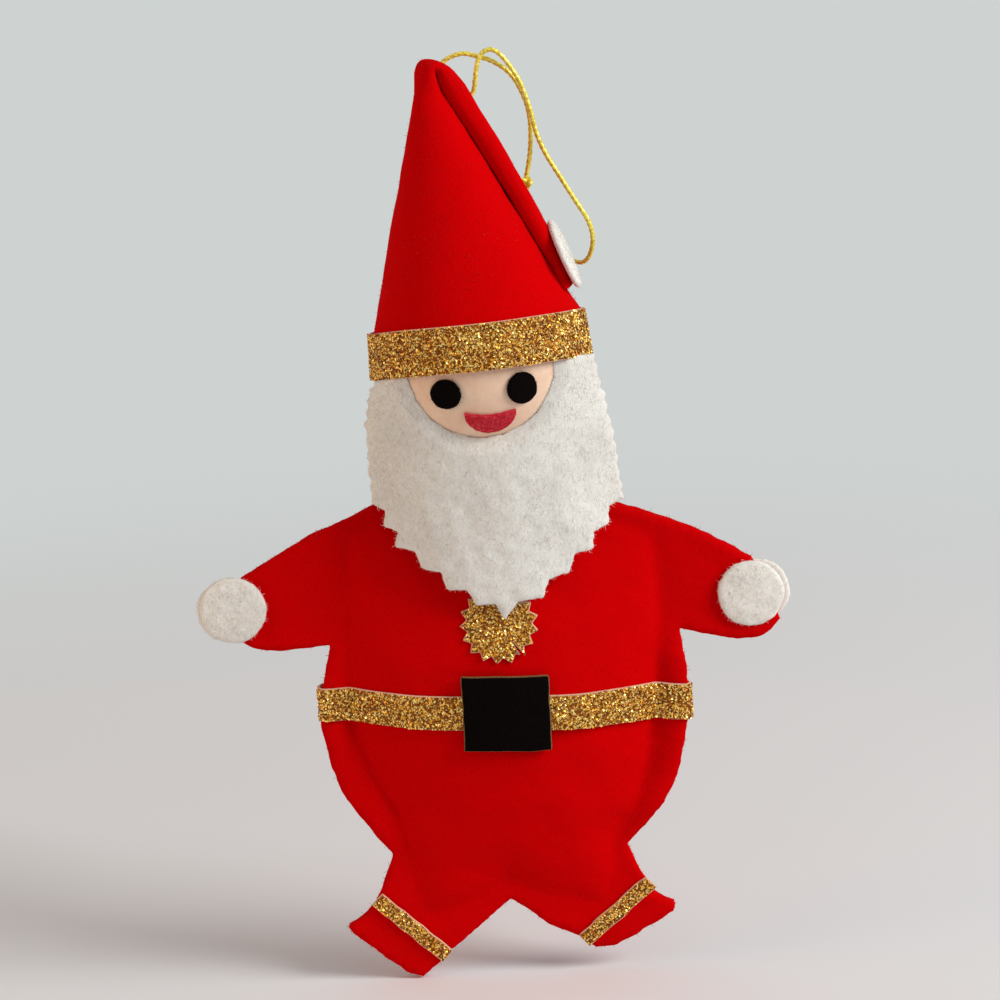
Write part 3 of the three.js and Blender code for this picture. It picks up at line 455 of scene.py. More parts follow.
def cut_sheet(name, outline, spacing, place, thick, materials, soft=1.0):
    """A closed sheet cut to an outline. place(u, v, off) puts a flat point on its seat, so far off it.
    Gives the object, its front face's points and triangles, and its rim."""
    normal = outward(outline)
    flat, triangles = filled(outline + soft * RIM_SHAPE[0][0] * normal, spacing)
    count, rim_count = len(flat), len(outline)
    front = place(flat[:, 0], flat[:, 1], np.full(count, thick))
    back = place(flat[:, 0], flat[:, 1], np.zeros(count))
    rings = []
    for way, share in RIM_SHAPE[1:-1]:
        ring = outline + soft * way * normal
        rings.append(place(ring[:, 0], ring[:, 1], np.full(rim_count, share * thick)))
    points = np.vstack([front, back, *rings])
    rows = [np.arange(rim_count)]
    rows += [2 * count + k * rim_count + np.arange(rim_count) for k in range(len(rings))]
    rows.append(count + np.arange(rim_count))
    walls = [face for line, other in zip(rows, rows[1:]) for face in strip_faces(line, other)]
    faces = [tuple(t) for t in triangles] + [tuple(t[::-1] + count) for t in triangles] + walls
    last = len(materials) - 1
    indices = [0] * (2 * len(triangles)) + [last] * len(walls)
    thing = link_mesh(name, points, faces, materials, indices)
    return thing, front, triangles, rings[1]


def grid_sheet(name, outer, inner, materials, ring=False):
    """A closed sheet from two grids of points, whose rows may run round to their start. Its first and
    last strips are its cut edges. Gives the object, its outer points and the triangles between the edges."""
    rows, count = outer.shape[:2]
    points = np.vstack([outer.reshape(-1, 3), inner.reshape(-1, 3)])
    shift = rows * count
    at = np.arange(shift).reshape(rows, count)
    strips = [strip_faces(at[i], at[i + 1], ring) for i in range(rows - 1)]
    face = [q for strip in strips[1:-1] for q in strip]
    edges = strips[0] + strips[-1]
    back = [tuple(i + shift for i in q[::-1]) for strip in strips for q in strip]
    walls = strip_faces(at[0] + shift, at[0], ring) + strip_faces(at[-1], at[-1] + shift, ring)
    if not ring:
        for i in range(rows - 1):
            for j in (0, count - 1):
                walls.append((at[i, j], at[i + 1, j], at[i + 1, j] + shift, at[i, j] + shift))
    rest = edges + back + walls
    indices = [0] * len(face) + [len(materials) - 1] * len(rest)
    thing = link_mesh(name, points, face + rest, materials, indices)
    return thing, outer.reshape(-1, 3), halves(face)


# Any way that no tube starts along
TUBE_START = [0.13, 0.97, 0.2]


def tube(points, radius, sides, lobes=0, lobe_depth=0.0, pitch=1.0):
    """Points and faces of a closed tube along a line, which may carry twisted lobes like a cord's plies."""
    points = np.asarray(points, float)
    tangent = np.gradient(points, axis=0)
    tangent /= np.linalg.norm(tangent, axis=1, keepdims=True)
    steps = np.linalg.norm(np.diff(points, axis=0), axis=1)
    travelled = np.concatenate([[0], np.cumsum(steps)])
    side = np.cross(tangent[0], TUBE_START)
    rings = []
    turns = np.arange(sides) / sides * 2 * math.pi
    for point, way, run in zip(points, tangent, travelled):
        side = side - way * (side @ way)
        side /= np.linalg.norm(side)
        other = np.cross(way, side)
        swell = 1 + lobe_depth * np.cos(lobes * (turns - 2 * math.pi * run / pitch / max(lobes, 1)))
        spokes = np.outer(np.cos(turns), side) + np.outer(np.sin(turns), other)
        rings.append(point + (radius * swell)[:, None] * spokes)
    count = len(rings)
    faces = ring_faces(count, sides)
    faces.append(tuple(range(sides))[::-1])
    faces.append(tuple((count - 1) * sides + j for j in range(sides)))
    return np.vstack(rings), faces


def scattered(points, triangles, count, rng):
    """Places spread evenly over triangles, with the normals there."""
    a, b, c = (points[triangles[:, k]] for k in range(3))
    normal = np.cross(b - a, c - a)
    area = np.linalg.norm(normal, axis=1) / 2
    chosen = rng.choice(len(triangles), count, p=area / area.sum())
    u, v = rng.random((2, count))
    folded = u + v > 1
    u, v = np.where(folded, 1 - u, u), np.where(folded, 1 - v, v)
    places = a[chosen] + u[:, None] * (b - a)[chosen] + v[:, None] * (c - a)[chosen]
    return places, normal[chosen] / (2 * area[chosen])[:, None]


def unit(ways):
    return ways / np.maximum(np.linalg.norm(ways, axis=1, keepdims=True), 1e-9)


def face_area(points, triangles):
    a, b, c = (points[triangles[:, k]] for k in range(3))
    return np.linalg.norm(np.cross(b - a, c - a), axis=1).sum() / 2


def raw_mesh(name, points, faces, materials, indices, smooth):
    """A mesh of very many faces with one number of corners, already turned outwards."""
    mesh = bpy.data.meshes.new(name)
    mesh.vertices.add(len(points))
    mesh.vertices.foreach_set("co", in_frame(points).astype(np.float32).ravel())
    mesh.loops.add(faces.size)
    mesh.loops.foreach_set("vertex_index", faces.astype(np.int32).ravel())
    mesh.polygons.add(len(faces))
    mesh.polygons.foreach_set("loop_start", np.arange(0, faces.size, faces.shape[1], dtype=np.int32))
    dress(mesh, materials, indices, smooth)
    mesh.update(calc_edges=True)
    mesh.validate()
    return linked(name, mesh)


FLAKES_PER_MM2 = 13.0
FLAKE_WIDTH = (0.18, 0.4)
FLAKE_THICK = 0.06
FLAKE_TILT = 0.5
FLAKE_STRETCH = (0.8, 1.4)
FLAKE_LIFT = (0.03, 0.14)
FLAKE_SHARES = (0.38, 0.33, 0.29)
FLAKE_FACES = np.array([(0, 1, 2), (0, 2, 3), (1, 0, 4), (2, 1, 4), (3, 2, 4), (0, 3, 4)])


def flakes(name, points, triangles, outwards, seed):
    """Small bright scraps of foil strewn over a face, each a little tilted, with a point underneath."""
    rng = np.random.default_rng(seed)
    count = int(face_area(points, triangles) * FLAKES_PER_MM2)
    places, normal = scattered(points, triangles, count, rng)
    normal *= np.sign(np.sum(normal * outwards(places), axis=1))[:, None]
    tilted = unit(normal + rng.normal(scale=FLAKE_TILT, size=(count, 3)))
    side = unit(np.cross(tilted, rng.normal(size=(count, 3))))
    other = np.cross(tilted, side)
    wide = rng.uniform(*FLAKE_WIDTH, size=(count, 1)) / 2
    long = wide * rng.uniform(*FLAKE_STRETCH, size=(count, 1))
    centre = places + normal * rng.uniform(*FLAKE_LIFT, size=(count, 1))
    square = ((-1, -1), (1, -1), (1, 1), (-1, 1))
    corners = [centre + side * wide * u + other * long * v for u, v in square]
    corners.append(centre - tilted * FLAKE_THICK)
    vertices = np.stack(corners, axis=1).reshape(-1, 3)
    faces = (FLAKE_FACES[None] + 5 * np.arange(count)[:, None, None]).reshape(-1, 3)
    tone = rng.choice(len(FLAKE_LOOKS), count, p=FLAKE_SHARES)
    thing = raw_mesh(name, vertices, faces, FLAKE_LOOKS, np.repeat(tone, len(FLAKE_FACES)), False)
    stand_for(thing, "gold_glitter")


FIBRE_RADIUS = 0.035
FIBRE_STOPS = (0.0, 0.4, 0.75, 1.0)
FIBRE_TAPER = (1.0, 0.85, 0.55)


def fibres(name, roots, ways, lengths, slot, material, seed, curl=0.5):
    """Thin curved hairs that stand on the roots and taper to a point."""
    rng = np.random.default_rng(seed)
    count = len(roots)
    ways = unit(ways)
    bend = rng.normal(size=(count, 3)) * curl
    lengths = np.asarray(lengths).reshape(-1, 1)
    stops = []
    for share in FIBRE_STOPS:
        stops.append(roots + lengths * share * unit(ways + bend * share))
    side = unit(np.cross(ways, rng.normal(size=(count, 3))))
    other = np.cross(unit(ways), side)
    rows = []
    for centre, share in zip(stops[:3], FIBRE_TAPER):
        for k in range(3):
            turn = 2 * math.pi * k / 3
            rows.append(centre + FIBRE_RADIUS * share * (side * math.cos(turn) + other * math.sin(turn)))
    rows.append(stops[3])
    vertices = np.stack(rows, axis=1).reshape(-1, 3)
    pattern = [(0, 2, 1)]
    for level in (0, 3):
        for k in range(3):
            n = (k + 1) % 3
            pattern += [(level + k, level + n, level + n + 3), (level + k, level + n + 3, level + k + 3)]
    pattern += [(6, 7, 9), (7, 8, 9), (8, 6, 9)]
    faces = (np.array(pattern)[None] + 10 * np.arange(count)[:, None, None]).reshape(-1, 3)
    thing = raw_mesh(name, vertices, faces, [material], np.zeros(len(faces), np.int32), True)
    stand_for(thing, slot)


def hairs(name, roots, ways, rng, spread, lengths, slot, material, seed):
    """Hairs that lean about the given ways. Lengths are the usual, the least and the greatest."""
    usual, least, longest = lengths
    ways = unit(ways) + rng.normal(scale=spread, size=roots.shape)
    lengths = rng.exponential(usual, len(roots)).clip(least, longest)
    fibres(name, roots, ways, lengths, slot, material, seed)


# The cord
CORD_DIAMETER = 0.95
CORD_BIGHT = 2.0
CORD_LOBES = {"lobes": 3, "lobe_depth": 0.08, "pitch": 1.3}
KNOT = [14.4, 0.5, -20.5]
CORD_SHORT_ROUTE = [
    [-1.7, 0.8, 2.8], [-0.3, 0.8, 4.8], [1.5, 0.8, 5.7], [3.7, 0.8, 6.1], [6.0, 0.8, 5.4],
    [9.1, 0.8, 4.3], [12.7, 0.8, 1.5], [15.0, 0.8, -2.9], [16.0, 0.8, -7.2], [16.0, 0.8, -11.7],
    [15.4, 0.8, -16.3],
]
CORD_LONG_ROUTE = [
    [1.3, -0.2, -2.35], [2.8, -0.5, -2.85], [4.3, -0.6, -2.5], [5.3, -0.6, -1.3], [5.5, -0.6, 0.2],
    [6.1, -0.6, 3.8], [6.9, -0.6, 5.9], [8.8, -0.6, 6.9], [10.5, -0.6, 6.0], [12.4, -0.6, 3.6],
    [14.4, -0.6, 0.0], [16.1, -0.6, -5.3], [17.0, -0.6, -9.7], [18.6, -0.6, -14.1], [21.7, -0.6, -19.7],
    [24.6, -0.6, -24.8], [26.6, -0.6, -28.3], [27.4, 0.0, -32.0], [26.7, 1.6, -35.6], [25.0, 4.2, -37.6],
    [22.4, 6.8, -36.8], [19.6, 7.8, -33.2], [17.0, 6.6, -28.9], [15.2, 3.8, -24.8],
]
SHORT_BIGHT = [(-2, 0.1), (-35, 0.36), (-65, 0.6), (-90, 0.8)]
LONG_BIGHT = [(2, 0.1)]
CORD_STEP = 0.16
CORD_EASING = 40
KNOT_WIDTH = 0.42
KNOT_DEPTH = 0.5
KNOT_ENDS = np.array([[-1.6, -0.6, -2.2], [0.4, -0.8, -2.6]])


def cord_line(bight, route):
    """A strand's middle line, eased until no bend is tighter than about two diameters."""
    start = [
        [CORD_BIGHT * math.sin(math.radians(t)), y, -CORD_BIGHT * math.cos(math.radians(t))]
        for t, y in bight
    ]
    line = respaced(spline(np.array([*start, *route, KNOT]), 12) + TACK, CORD_STEP)
    for _ in range(CORD_EASING):
        line[1:-1] = line[1:-1] / 2 + (line[:-2] + line[2:]) / 4
    return respaced(line, CORD_STEP)


def cord_strand(name, bight, route):
    line = cord_line(bight, route)
    points, faces = tube(line, CORD_DIAMETER / 2, 16, **CORD_LOBES)
    thing = link_mesh(name, points, faces, [CORD_GOLD])
    stand_for(thing, "gold_cord", "cord_" + name, body="loop")


def cord_knot():
    """An overhand knot drawn tight, with the two cut ends standing out of it."""
    turn = np.linspace(0, 2 * math.pi, 90)
    knot = np.column_stack([
        KNOT_WIDTH * (np.sin(turn) + 2 * np.sin(2 * turn)),
        -KNOT_DEPTH * np.sin(3 * turn),
        KNOT_WIDTH * (np.cos(turn) - 2 * np.cos(2 * turn)),
    ])
    centre = TACK + np.array(KNOT)
    parts = [tube(centre + knot, CORD_DIAMETER / 2, 12, **CORD_LOBES)]
    for way in KNOT_ENDS:
        tail = spline([[0, 0, 0], way * 0.6, way + [0.3, 0, 0]], 8)
        parts.append(tube(centre + tail, CORD_DIAMETER * 0.45, 12, **CORD_LOBES))
    points, faces = joined(parts)
    thing = link_mesh("knot", points, faces, [CORD_GOLD])
    stand_for(thing, "gold_cord", "cord_knot", body="loop")


def joined(parts):
    points, faces, count = [], [], 0
    for part_points, part_faces in parts:
        points.append(part_points)
        faces += [tuple(i + count for i in f) for f in part_faces]
        count += len(part_points)
    return np.vstack(points), faces


TACK_LENGTH = 4.6
TACK_RADIUS = 1.2
TACK_TURNS = 9
THREAD_RADIUS = 0.27


def cord_tack():
    """Turns of sewing thread wound close together round the strands' holding point."""
    angle = np.linspace(0, 2 * math.pi * TACK_TURNS, 40 * TACK_TURNS)
    radius = TACK_RADIUS - THREAD_RADIUS
    along = np.linspace(-TACK_LENGTH / 2 - 0.6, TACK_LENGTH / 2 - THREAD_RADIUS, len(angle))
    winding = np.column_stack([radius * np.cos(angle), along, radius * np.sin(angle)]) + TACK
    core = np.array([[0, -TACK_LENGTH / 2 - 0.7, 0], [0, 0, 0], [0, TACK_LENGTH / 2 - 0.1, 0]]) + TACK
    points, faces = joined([tube(winding, THREAD_RADIUS, 8), tube(core, radius, 20)])
    stand_for(link_mesh("tack", points, faces, [THREAD]), "red_thread", "cord_tack")


cord_strand("short_strand", SHORT_BIGHT, CORD_SHORT_ROUTE)
cord_strand("long_strand", LONG_BIGHT, CORD_LONG_ROUTE)
cord_knot()
cord_tack()


# The body
# The body's cut: each side's corners, out from the middle and up from the soles
LEFT_CUT = {
    "shoulder": (24.5, 99), "upperArm": (39.9, 92.2), "wristTop": (52, 85.3), "wristEnd": (52.6, 72.8),
    "wristLow": (50.2, 71.3), "underArm": (45.3, 70.5), "armpit": (34.7, 71), "waist": (37.4, 58),
    "belly": (36.6, 50), "hip": (34.2, 40.8), "thigh": (29.2, 33), "ankle": (24.4, 26),
    "bootTop": (29.1, 15.3), "toe": (34.6, 11.4), "toeEnd": (33.8, 10), "sole": (23.1, 1),
    "soleEnd": (19.7, 0), "heel": (13.9, 5.1), "innerLeg": (7.5, 10.4),
}
RIGHT_CUT = {
    "shoulder": (25.4, 96.6), "upperArm": (38.6, 91.5), "wristTop": (50.8, 84.3), "wristEnd": (55.9, 71.7),
    "wristLow": (52.9, 68.9), "underArm": (47, 68.2), "armpit": (35.7, 70.7), "waist": (36.9, 58),
    "belly": (35.9, 49.1), "hip": (33.2, 38.9), "thigh": (28.2, 31.5), "ankle": (23.1, 25.9),
    "bootTop": (27.8, 15.8), "toe": (32.4, 12.9), "toeEnd": (32.2, 11.2), "sole": (20.1, 4.5),
    "soleEnd": (15.7, 4.1), "heel": (12.6, 6.9), "innerLeg": (6.6, 9.6),
}
CROTCH = (-1, 15.7)
NECK_HALF_WIDTH = 8
NECK_BASE_Z = 101
FRONT_NECK_TOP_Z = 105
BACK_NECK_TOP_Z = 118
PAD_MIDDLE_Z = 60
PAD_HALF_WIDTH = 31
PAD_HALF_HEIGHT = 42
PAD_RISE = 9
FLANGE = 3.6
# The pocket for the wadding: its glue lines run from the shoulders past the arms down to the legs
POCKET = np.array([
    (24.0, 103.0), (29.8, 95.5), (31.2, 84.0), (31.4, 72.0), (30.2, 58.2), (28.7, 47.7), (26.2, 37.3),
    (22.0, 24.8), (18.0, 14.0), (7.0, 17.0), (-1.0, 21.0), (-8.0, 17.0), (-17.5, 13.0), (-21.1, 27.2),
    (-23.6, 36.9), (-27.3, 43.4), (-30.3, 51.0), (-31.4, 64.0), (-30.9, 78.0), (-28.8, 96.6), (-23.0, 104.0),
])
HOLD_FADE = 1.2
PANEL_SPACING = 1.3
BACK_SPACING = 2.0
# The glue presses the panels a little into each other, so that no light passes between them
SEAM = -0.04
PANEL_FELT = FELT + FIT / 2 - SEAM
FRONT_OUTER_Y = -SEAM - PANEL_FELT
BACK_OUTER_Y = SEAM + PANEL_FELT


def side_outline(cut, neck_top):
    def run(*names):
        return spline([cut[name] for name in names], 8)

    return np.vstack([
        [(NECK_HALF_WIDTH, neck_top), (NECK_HALF_WIDTH, NECK_BASE_Z)],
        run("shoulder", "upperArm", "wristTop"),
        run("wristEnd", "wristLow", "underArm", "armpit"),
        run("armpit", "waist", "belly", "hip", "thigh", "ankle")[1:],
        run("ankle", "bootTop", "toe")[1:],
        [cut["toeEnd"], cut["sole"], cut["soleEnd"], cut["heel"], cut["innerLeg"]],
    ])


def body_outline(neck_top, seed):
    right = side_outline(RIGHT_CUT, neck_top)
    left = side_outline(LEFT_CUT, neck_top) * (-1, 1)
    outline = respaced(np.vstack([right, [CROTCH], left[::-1]]), 0.9, closed=True)
    uneven = swells(outline, ((0.1, 6, seed), (0.06, 1.6, seed + 1)))
    return outline + outward(outline) * uneven[:, None]


def plain_rise(flat):
    """The pad's oval dome."""
    share = 1 - (flat[:, 0] / PAD_HALF_WIDTH) ** 2 - ((flat[:, 1] - PAD_MIDDLE_Z) / PAD_HALF_HEIGHT) ** 2
    return PAD_RISE * np.clip(share, 0, None)


SIM_SCALE = 10.0
SIM_FRAMES = 20
SIM_CLOTH = {
    "quality": 6, "mass": 0.4, "tension_stiffness": 12, "compression_stiffness": 12, "shear_stiffness": 6,
    "bending_stiffness": 2, "use_pressure": True, "uniform_pressure_force": 6.0,
}
SIM_FULLNESS = 0.78


def blown_rise(flat, triangles, outline):
    """The front panel blown up as cloth that is held down along its flange and outside the pocket."""
    mesh = bpy.data.meshes.new("panel_cloth")
    points = np.column_stack([flat[:, 0], np.zeros(len(flat)), flat[:, 1]]) * MM * SIM_SCALE
    mesh.from_pydata(points.tolist(), [], [tuple(t) for t in triangles.tolist()])
    mesh.update()
    if np.mean([p.normal.y for p in mesh.polygons]) > 0:
        mesh.flip_normals()
    cloth = linked("panel_cloth", mesh)
    held = cloth.vertex_groups.new(name="held")
    room = np.where(inside(flat, POCKET), 1, -1) * edge_distance(flat, POCKET)
    room = np.minimum(room, edge_distance(flat, outline) - FLANGE)
    weights = np.clip(1 - room / HOLD_FADE, 0, 1).tolist()
    for i, weight in enumerate(weights):
        if weight > 0:
            held.add([i], weight, "REPLACE")
    modifier = cloth.modifiers.new("cloth", "CLOTH")
    settings = modifier.settings
    for name, value in SIM_CLOTH.items():
        setattr(settings, name, value)
    settings.vertex_group_mass = "held"
    settings.effector_weights.gravity = 0
    modifier.collision_settings.use_collision = False
    modifier.point_cache.frame_start = 1
    modifier.point_cache.frame_end = SIM_FRAMES
    scene = bpy.context.scene
    for step in range(1, SIM_FRAMES + 1):
        scene.frame_set(step)
    shaped = cloth.evaluated_get(bpy.context.evaluated_depsgraph_get()).data
    moved = np.zeros(3 * len(flat), np.float32)
    shaped.vertices.foreach_get("co", moved)
    scene.frame_set(1)
    bpy.data.objects.remove(cloth)
    rise = np.clip(-moved.reshape(-1, 3)[:, 1], 0, None)
    return PAD_RISE * (rise / rise.max()) ** SIM_FULLNESS


front_outline = body_outline(FRONT_NECK_TOP_Z, 11)
front_flat, front_triangles = filled(front_outline + RIM_SHAPE[0][0] * outward(front_outline), PANEL_SPACING)
front_rise = blown_rise(front_flat, front_triangles, front_outline)
RISE_TREE = BVHTree.FromPolygons(
    [Vector((p[0], -r, p[1])) for p, r in zip(front_flat, front_rise)],
    [tuple(int(i) for i in t) for t in front_triangles],
)


def rise_at(x, z):
    """How far the wadding lifts the front panel at flat points; none outside it."""
    lifts = np.zeros(len(x))
    for i, (a, b) in enumerate(zip(x, z)):
        hit = RISE_TREE.ray_cast(Vector((a, -50, b)), Vector((0, 1, 0)))[0]
        lifts[i] = -hit.y if hit else 0.0
    return lifts


CURL = 1.4
CURL_REACH = (7.0, 2.0)
CURL_INNER_X = (21.0, 28.0)
CURL_FOOT_Z = (21.0, 36.0)
CURL_TOP_Z = (76.0, 62.0)


def eased(value, start, end):
    """A smooth step from 0 at the start to 1 at the end."""
    share = np.clip((value - start) / (end - start), 0, 1)
    return share**2 * (3 - 2 * share)


def curl_at(flat):
    """How far the glued rim beside the belly stands forward of the valley round the wadding."""
    near = eased(edge_distance(flat, front_outline), *CURL_REACH)
    beside = eased(np.abs(flat[:, 0]), *CURL_INNER_X)
    high = eased(flat[:, 1], *CURL_FOOT_Z) * eased(flat[:, 1], *CURL_TOP_Z)
    return CURL * near * beside * high


PANEL_SWELLS = ((0.12, 9, 21), (0.05, 3, 22))
BACK_SWELLS = ((0.1, 9, 31),)
PAD_INSET = (1.5, 2.0)
PAD_CLEAR = 0.4
PAD_LUMPS = ((0.25, 6, 61),)
PAD_LEAST = 0.35
PAD_SPACING = 2.4
EDGE_HAIRS = 2200
STRAY_HAIRS = 90
# Hairs' usual, least and greatest lengths
EDGE_LENGTHS = (0.3, 0.12, 1.1)
STRAY_LENGTHS = (0.5, 0.12, 2.4)
# How deep in a cut edge hairs are rooted, and how far off its middle
EDGE_ROOT = 0.1
EDGE_HALF = 0.45


def panel_seat(x, z, off):
    """On the front panel's inner face, with the felt's own small unevenness."""
    flat = np.column_stack([x, z])
    uneven = swells(flat, PANEL_SWELLS)
    y = -SEAM - rise_at(x, z) - curl_at(flat) - off - uneven * (off > 0)
    return np.column_stack([x, y, z])


def back_seat(x, z, off):
    """On the back panel's inner face, in the same way."""
    flat = np.column_stack([x, z])
    uneven = swells(flat, BACK_SWELLS)
    return np.column_stack([x, SEAM - curl_at(flat) + off + uneven * (off > 0), z])


def on_panel(gap):
    """Seats on the front panel's outer face, a gap off it."""

    def seat(x, z, off):
        points = panel_seat(x, z, np.full(len(x), PANEL_FELT))
        points[:, 1] -= gap + off
        return points

    return seat


def make_body():
    panel, front, triangles, _ = cut_sheet(
        "front_panel", front_outline, PANEL_SPACING, panel_seat, PANEL_FELT, [RED], soft=0.7
    )
    stand_for(panel, "red_felt", "body_front")
    back_outline = body_outline(BACK_NECK_TOP_Z, 41)
    back, back_face, back_triangles, _ = cut_sheet(
        "back_panel", back_outline, BACK_SPACING, back_seat, PANEL_FELT, [RED], soft=0.7
    )
    stand_for(back, "red_felt", "body_back")
    front_y, back_y = FRONT_OUTER_Y / 2, BACK_OUTER_Y / 2
    edge_fibres("front_panel_fibres", front_outline, front_y, EDGE_HAIRS, 51, RED_FIBRE, EDGE_LENGTHS)
    edge_fibres("back_panel_fibres", back_outline, back_y, EDGE_HAIRS, 52, RED_FIBRE, EDGE_LENGTHS)
    edge_fibres("stray_fibres", front_outline, front_y, STRAY_HAIRS, 57, STRAY_FIBRE, STRAY_LENGTHS)


def edge_fibres(name, outline, middle_y, count, seed, material, lengths):
    """Short hairs that stick out of a body panel's cut edge."""
    rng = np.random.default_rng(seed)
    chosen = rng.integers(0, len(outline), count)
    normal = outward(outline)[chosen]
    roots = np.column_stack([
        outline[chosen, 0] - EDGE_ROOT * normal[:, 0],
        middle_y + rng.uniform(-EDGE_HALF, EDGE_HALF, count),
        outline[chosen, 1] - EDGE_ROOT * normal[:, 1],
    ])
    ways = np.column_stack([normal[:, 0], rng.normal(scale=0.4, size=count), normal[:, 1]])
    hairs(name, roots, ways, rng, 0.5, lengths, "red_felt", material, seed + 1)


def make_pad():
    """The wadding between the panels, a soft dome with a lumpy face."""
    turn = np.linspace(0, 2 * math.pi, 90, endpoint=False)
    wide, high = PAD_HALF_WIDTH - PAD_INSET[0], PAD_HALF_HEIGHT - PAD_INSET[1]
    outline = np.column_stack([wide * np.cos(turn), PAD_MIDDLE_Z + high * np.sin(turn)])

    def seat(x, z, off):
        flat = np.column_stack([x, z])
        room = np.minimum(plain_rise(flat), rise_at(x, z) - PAD_CLEAR)
        lift = np.clip(room - FIT - swells(flat, PAD_LUMPS), PAD_LEAST, None)
        return np.column_stack([x, -FIT / 2 - np.where(off > 0, lift, 0), z])

    pad = cut_sheet("pad", outline, PAD_SPACING, seat, 1.0, [WADDING], soft=0.5)[0]
    stand_for(pad, "wadding", "body_stuffing")


make_pad()
make_body()


# The head and face
HEAD_SWELL = 0.0012


def make_head():
    ball = bmesh.new()
    bmesh.ops.create_icosphere(ball, subdivisions=5, radius=HEAD_RADIUS)
    points = np.array([v.co for v in ball.verts])
    faces = [[v.index for v in f.verts] for f in ball.faces]
    ball.free()
    points *= 1 + HEAD_SWELL * ripple(points, 9, 71)[:, None]
    head = link_mesh("head", points + HEAD, faces, [SKIN])
    stand_for(head, "skin_paint", "head_ball")


def on_ball(gap):
    """Seats on the front of the ball, set out from the middle of the face."""

    def seat(x, z, off):
        deep = np.sqrt(np.clip(HEAD_RADIUS**2 - x**2 - z**2, 0, None))
        way = unit(np.column_stack([x, -deep, z]))
        return HEAD + way * (HEAD_RADIUS + gap + off)[:, None]

    return seat


EYES = (("left_eye", (-6.9, -4.4), (2.9, 3.0), 81), ("right_eye", (7.7, -3.95), (2.85, 3.2), 83))
DOT_THICK = 0.7
DOT_GAP = 0.05
DOT_SPACING = 0.45
EYE_HAIRS = 70
MOUTH_MIDDLE = (1.4, -8.9)
MOUTH_HALF_WIDTH = 4.95
MOUTH_CORNER_RISE = 0.7
MOUTH_CORNER = 0.3
MOUTH_DROP = 4.3
MOUTH_TILT = 0.03


def make_face():
    turn = np.linspace(0, 2 * math.pi, 72, endpoint=False)
    ring = np.column_stack([np.cos(turn), np.sin(turn)])
    for name, middle, radii, seed in EYES:
        outline = np.array(middle) + ring * (np.array(radii) + 0.05 * ripple(ring, 0.5, seed)[:, None])
        dot, _, _, rim = cut_sheet(name + "_dot", outline, DOT_SPACING, on_ball(DOT_GAP), DOT_THICK, [BLACK])
        stand_for(dot, "black_felt", name)
        hairs_round(name + "_fibres", rim, EYE_HAIRS, seed, "black_felt", BLACK_FIBRE)
    across = np.linspace(-1, 1, 60)
    top = MOUTH_CORNER_RISE * across**2
    bottom = MOUTH_CORNER_RISE - MOUTH_CORNER - MOUTH_DROP * np.sqrt(1 - across**2)
    upper = np.column_stack([MOUTH_HALF_WIDTH * across, top])
    lower = np.column_stack([MOUTH_HALF_WIDTH * across, bottom])[::-1]
    outline = respaced(np.vstack([upper, lower]), 0.3, closed=True)
    outline[:, 1] += MOUTH_TILT * outline[:, 0]
    outline += MOUTH_MIDDLE
    outline += outward(outline) * 0.05 * ripple(outline, 1.2, 85)[:, None]
    smile, *_ = cut_sheet("smile", outline, DOT_SPACING, on_ball(DOT_GAP), DOT_THICK, [ROSE], soft=0.8)
    stand_for(smile, "mouth_felt", "mouth")


def hairs_round(name, rim, count, seed, slot, material):
    """Short hairs that stick out all round a small piece."""
    rng = np.random.default_rng(seed)
    roots = rim[rng.integers(0, len(rim), count)]
    hairs(name, roots, roots - rim.mean(0), rng, 0.5, (0.25, 0.1, 0.8), slot, material, seed + 1)


make_head()
make_face()


# Medallion, belt, buckle, boot bands
MEDAL_MIDDLE = np.array([-0.6, 75.5])
MEDAL_RADIUS = 7.9
MEDAL_TEETH = 17
MEDAL_TOOTH = 1.1
MEDAL_GAP = 0.12
MEDAL_SPACING = 0.8
SLIT_TURN = math.radians(-54)
SLIT_HALF_TURN = math.radians(3)
SLIT_END = 4.0
SLIT_LIFT = 0.6


def facing_front(places):
    return np.tile([0.0, -1.0, 0.0], (len(places), 1))


def make_medallion():
    """A pinked disc, torn a little way in at its lower right."""
    turn = np.linspace(-math.pi, math.pi, 2 * MEDAL_TEETH, endpoint=False)
    reach = MEDAL_RADIUS - np.where(np.arange(2 * MEDAL_TEETH) % 2, MEDAL_TOOTH * 1.25, 0)
    reach = reach + 0.12 * np.sin(5 * turn + 1)
    slit = SLIT_TURN + SLIT_HALF_TURN * np.array([-1, 0, 1])
    tear = np.interp(slit, turn, reach)
    tear[1] = SLIT_END
    at = np.searchsorted(turn, SLIT_TURN)
    turn, reach = np.insert(turn, at, slit), np.insert(reach, at, tear)
    outline = respaced(np.column_stack([reach * np.cos(turn), reach * np.sin(turn)]), 0.36, closed=True)

    def seat(x, z, off):
        flat = np.column_stack([x, z]) - MEDAL_MIDDLE
        beside = np.arctan2(flat[:, 1], flat[:, 0]) - SLIT_TURN
        raised = np.exp(-beside / 0.2) * (beside > 0) * np.clip(np.hypot(*flat.T) - SLIT_END, 0, 2) / 2
        return on_panel(MEDAL_GAP)(x, z, off + SLIT_LIFT * raised)

    disc, front, triangles, _ = cut_sheet(
        "medallion_disc", outline + MEDAL_MIDDLE, MEDAL_SPACING, seat, GLITTER, GLITTER_SHEET, soft=0.85
    )
    stand_for(disc, "gold_glitter", "medallion")
    flakes("medallion_flakes", front, triangles, facing_front, 91)


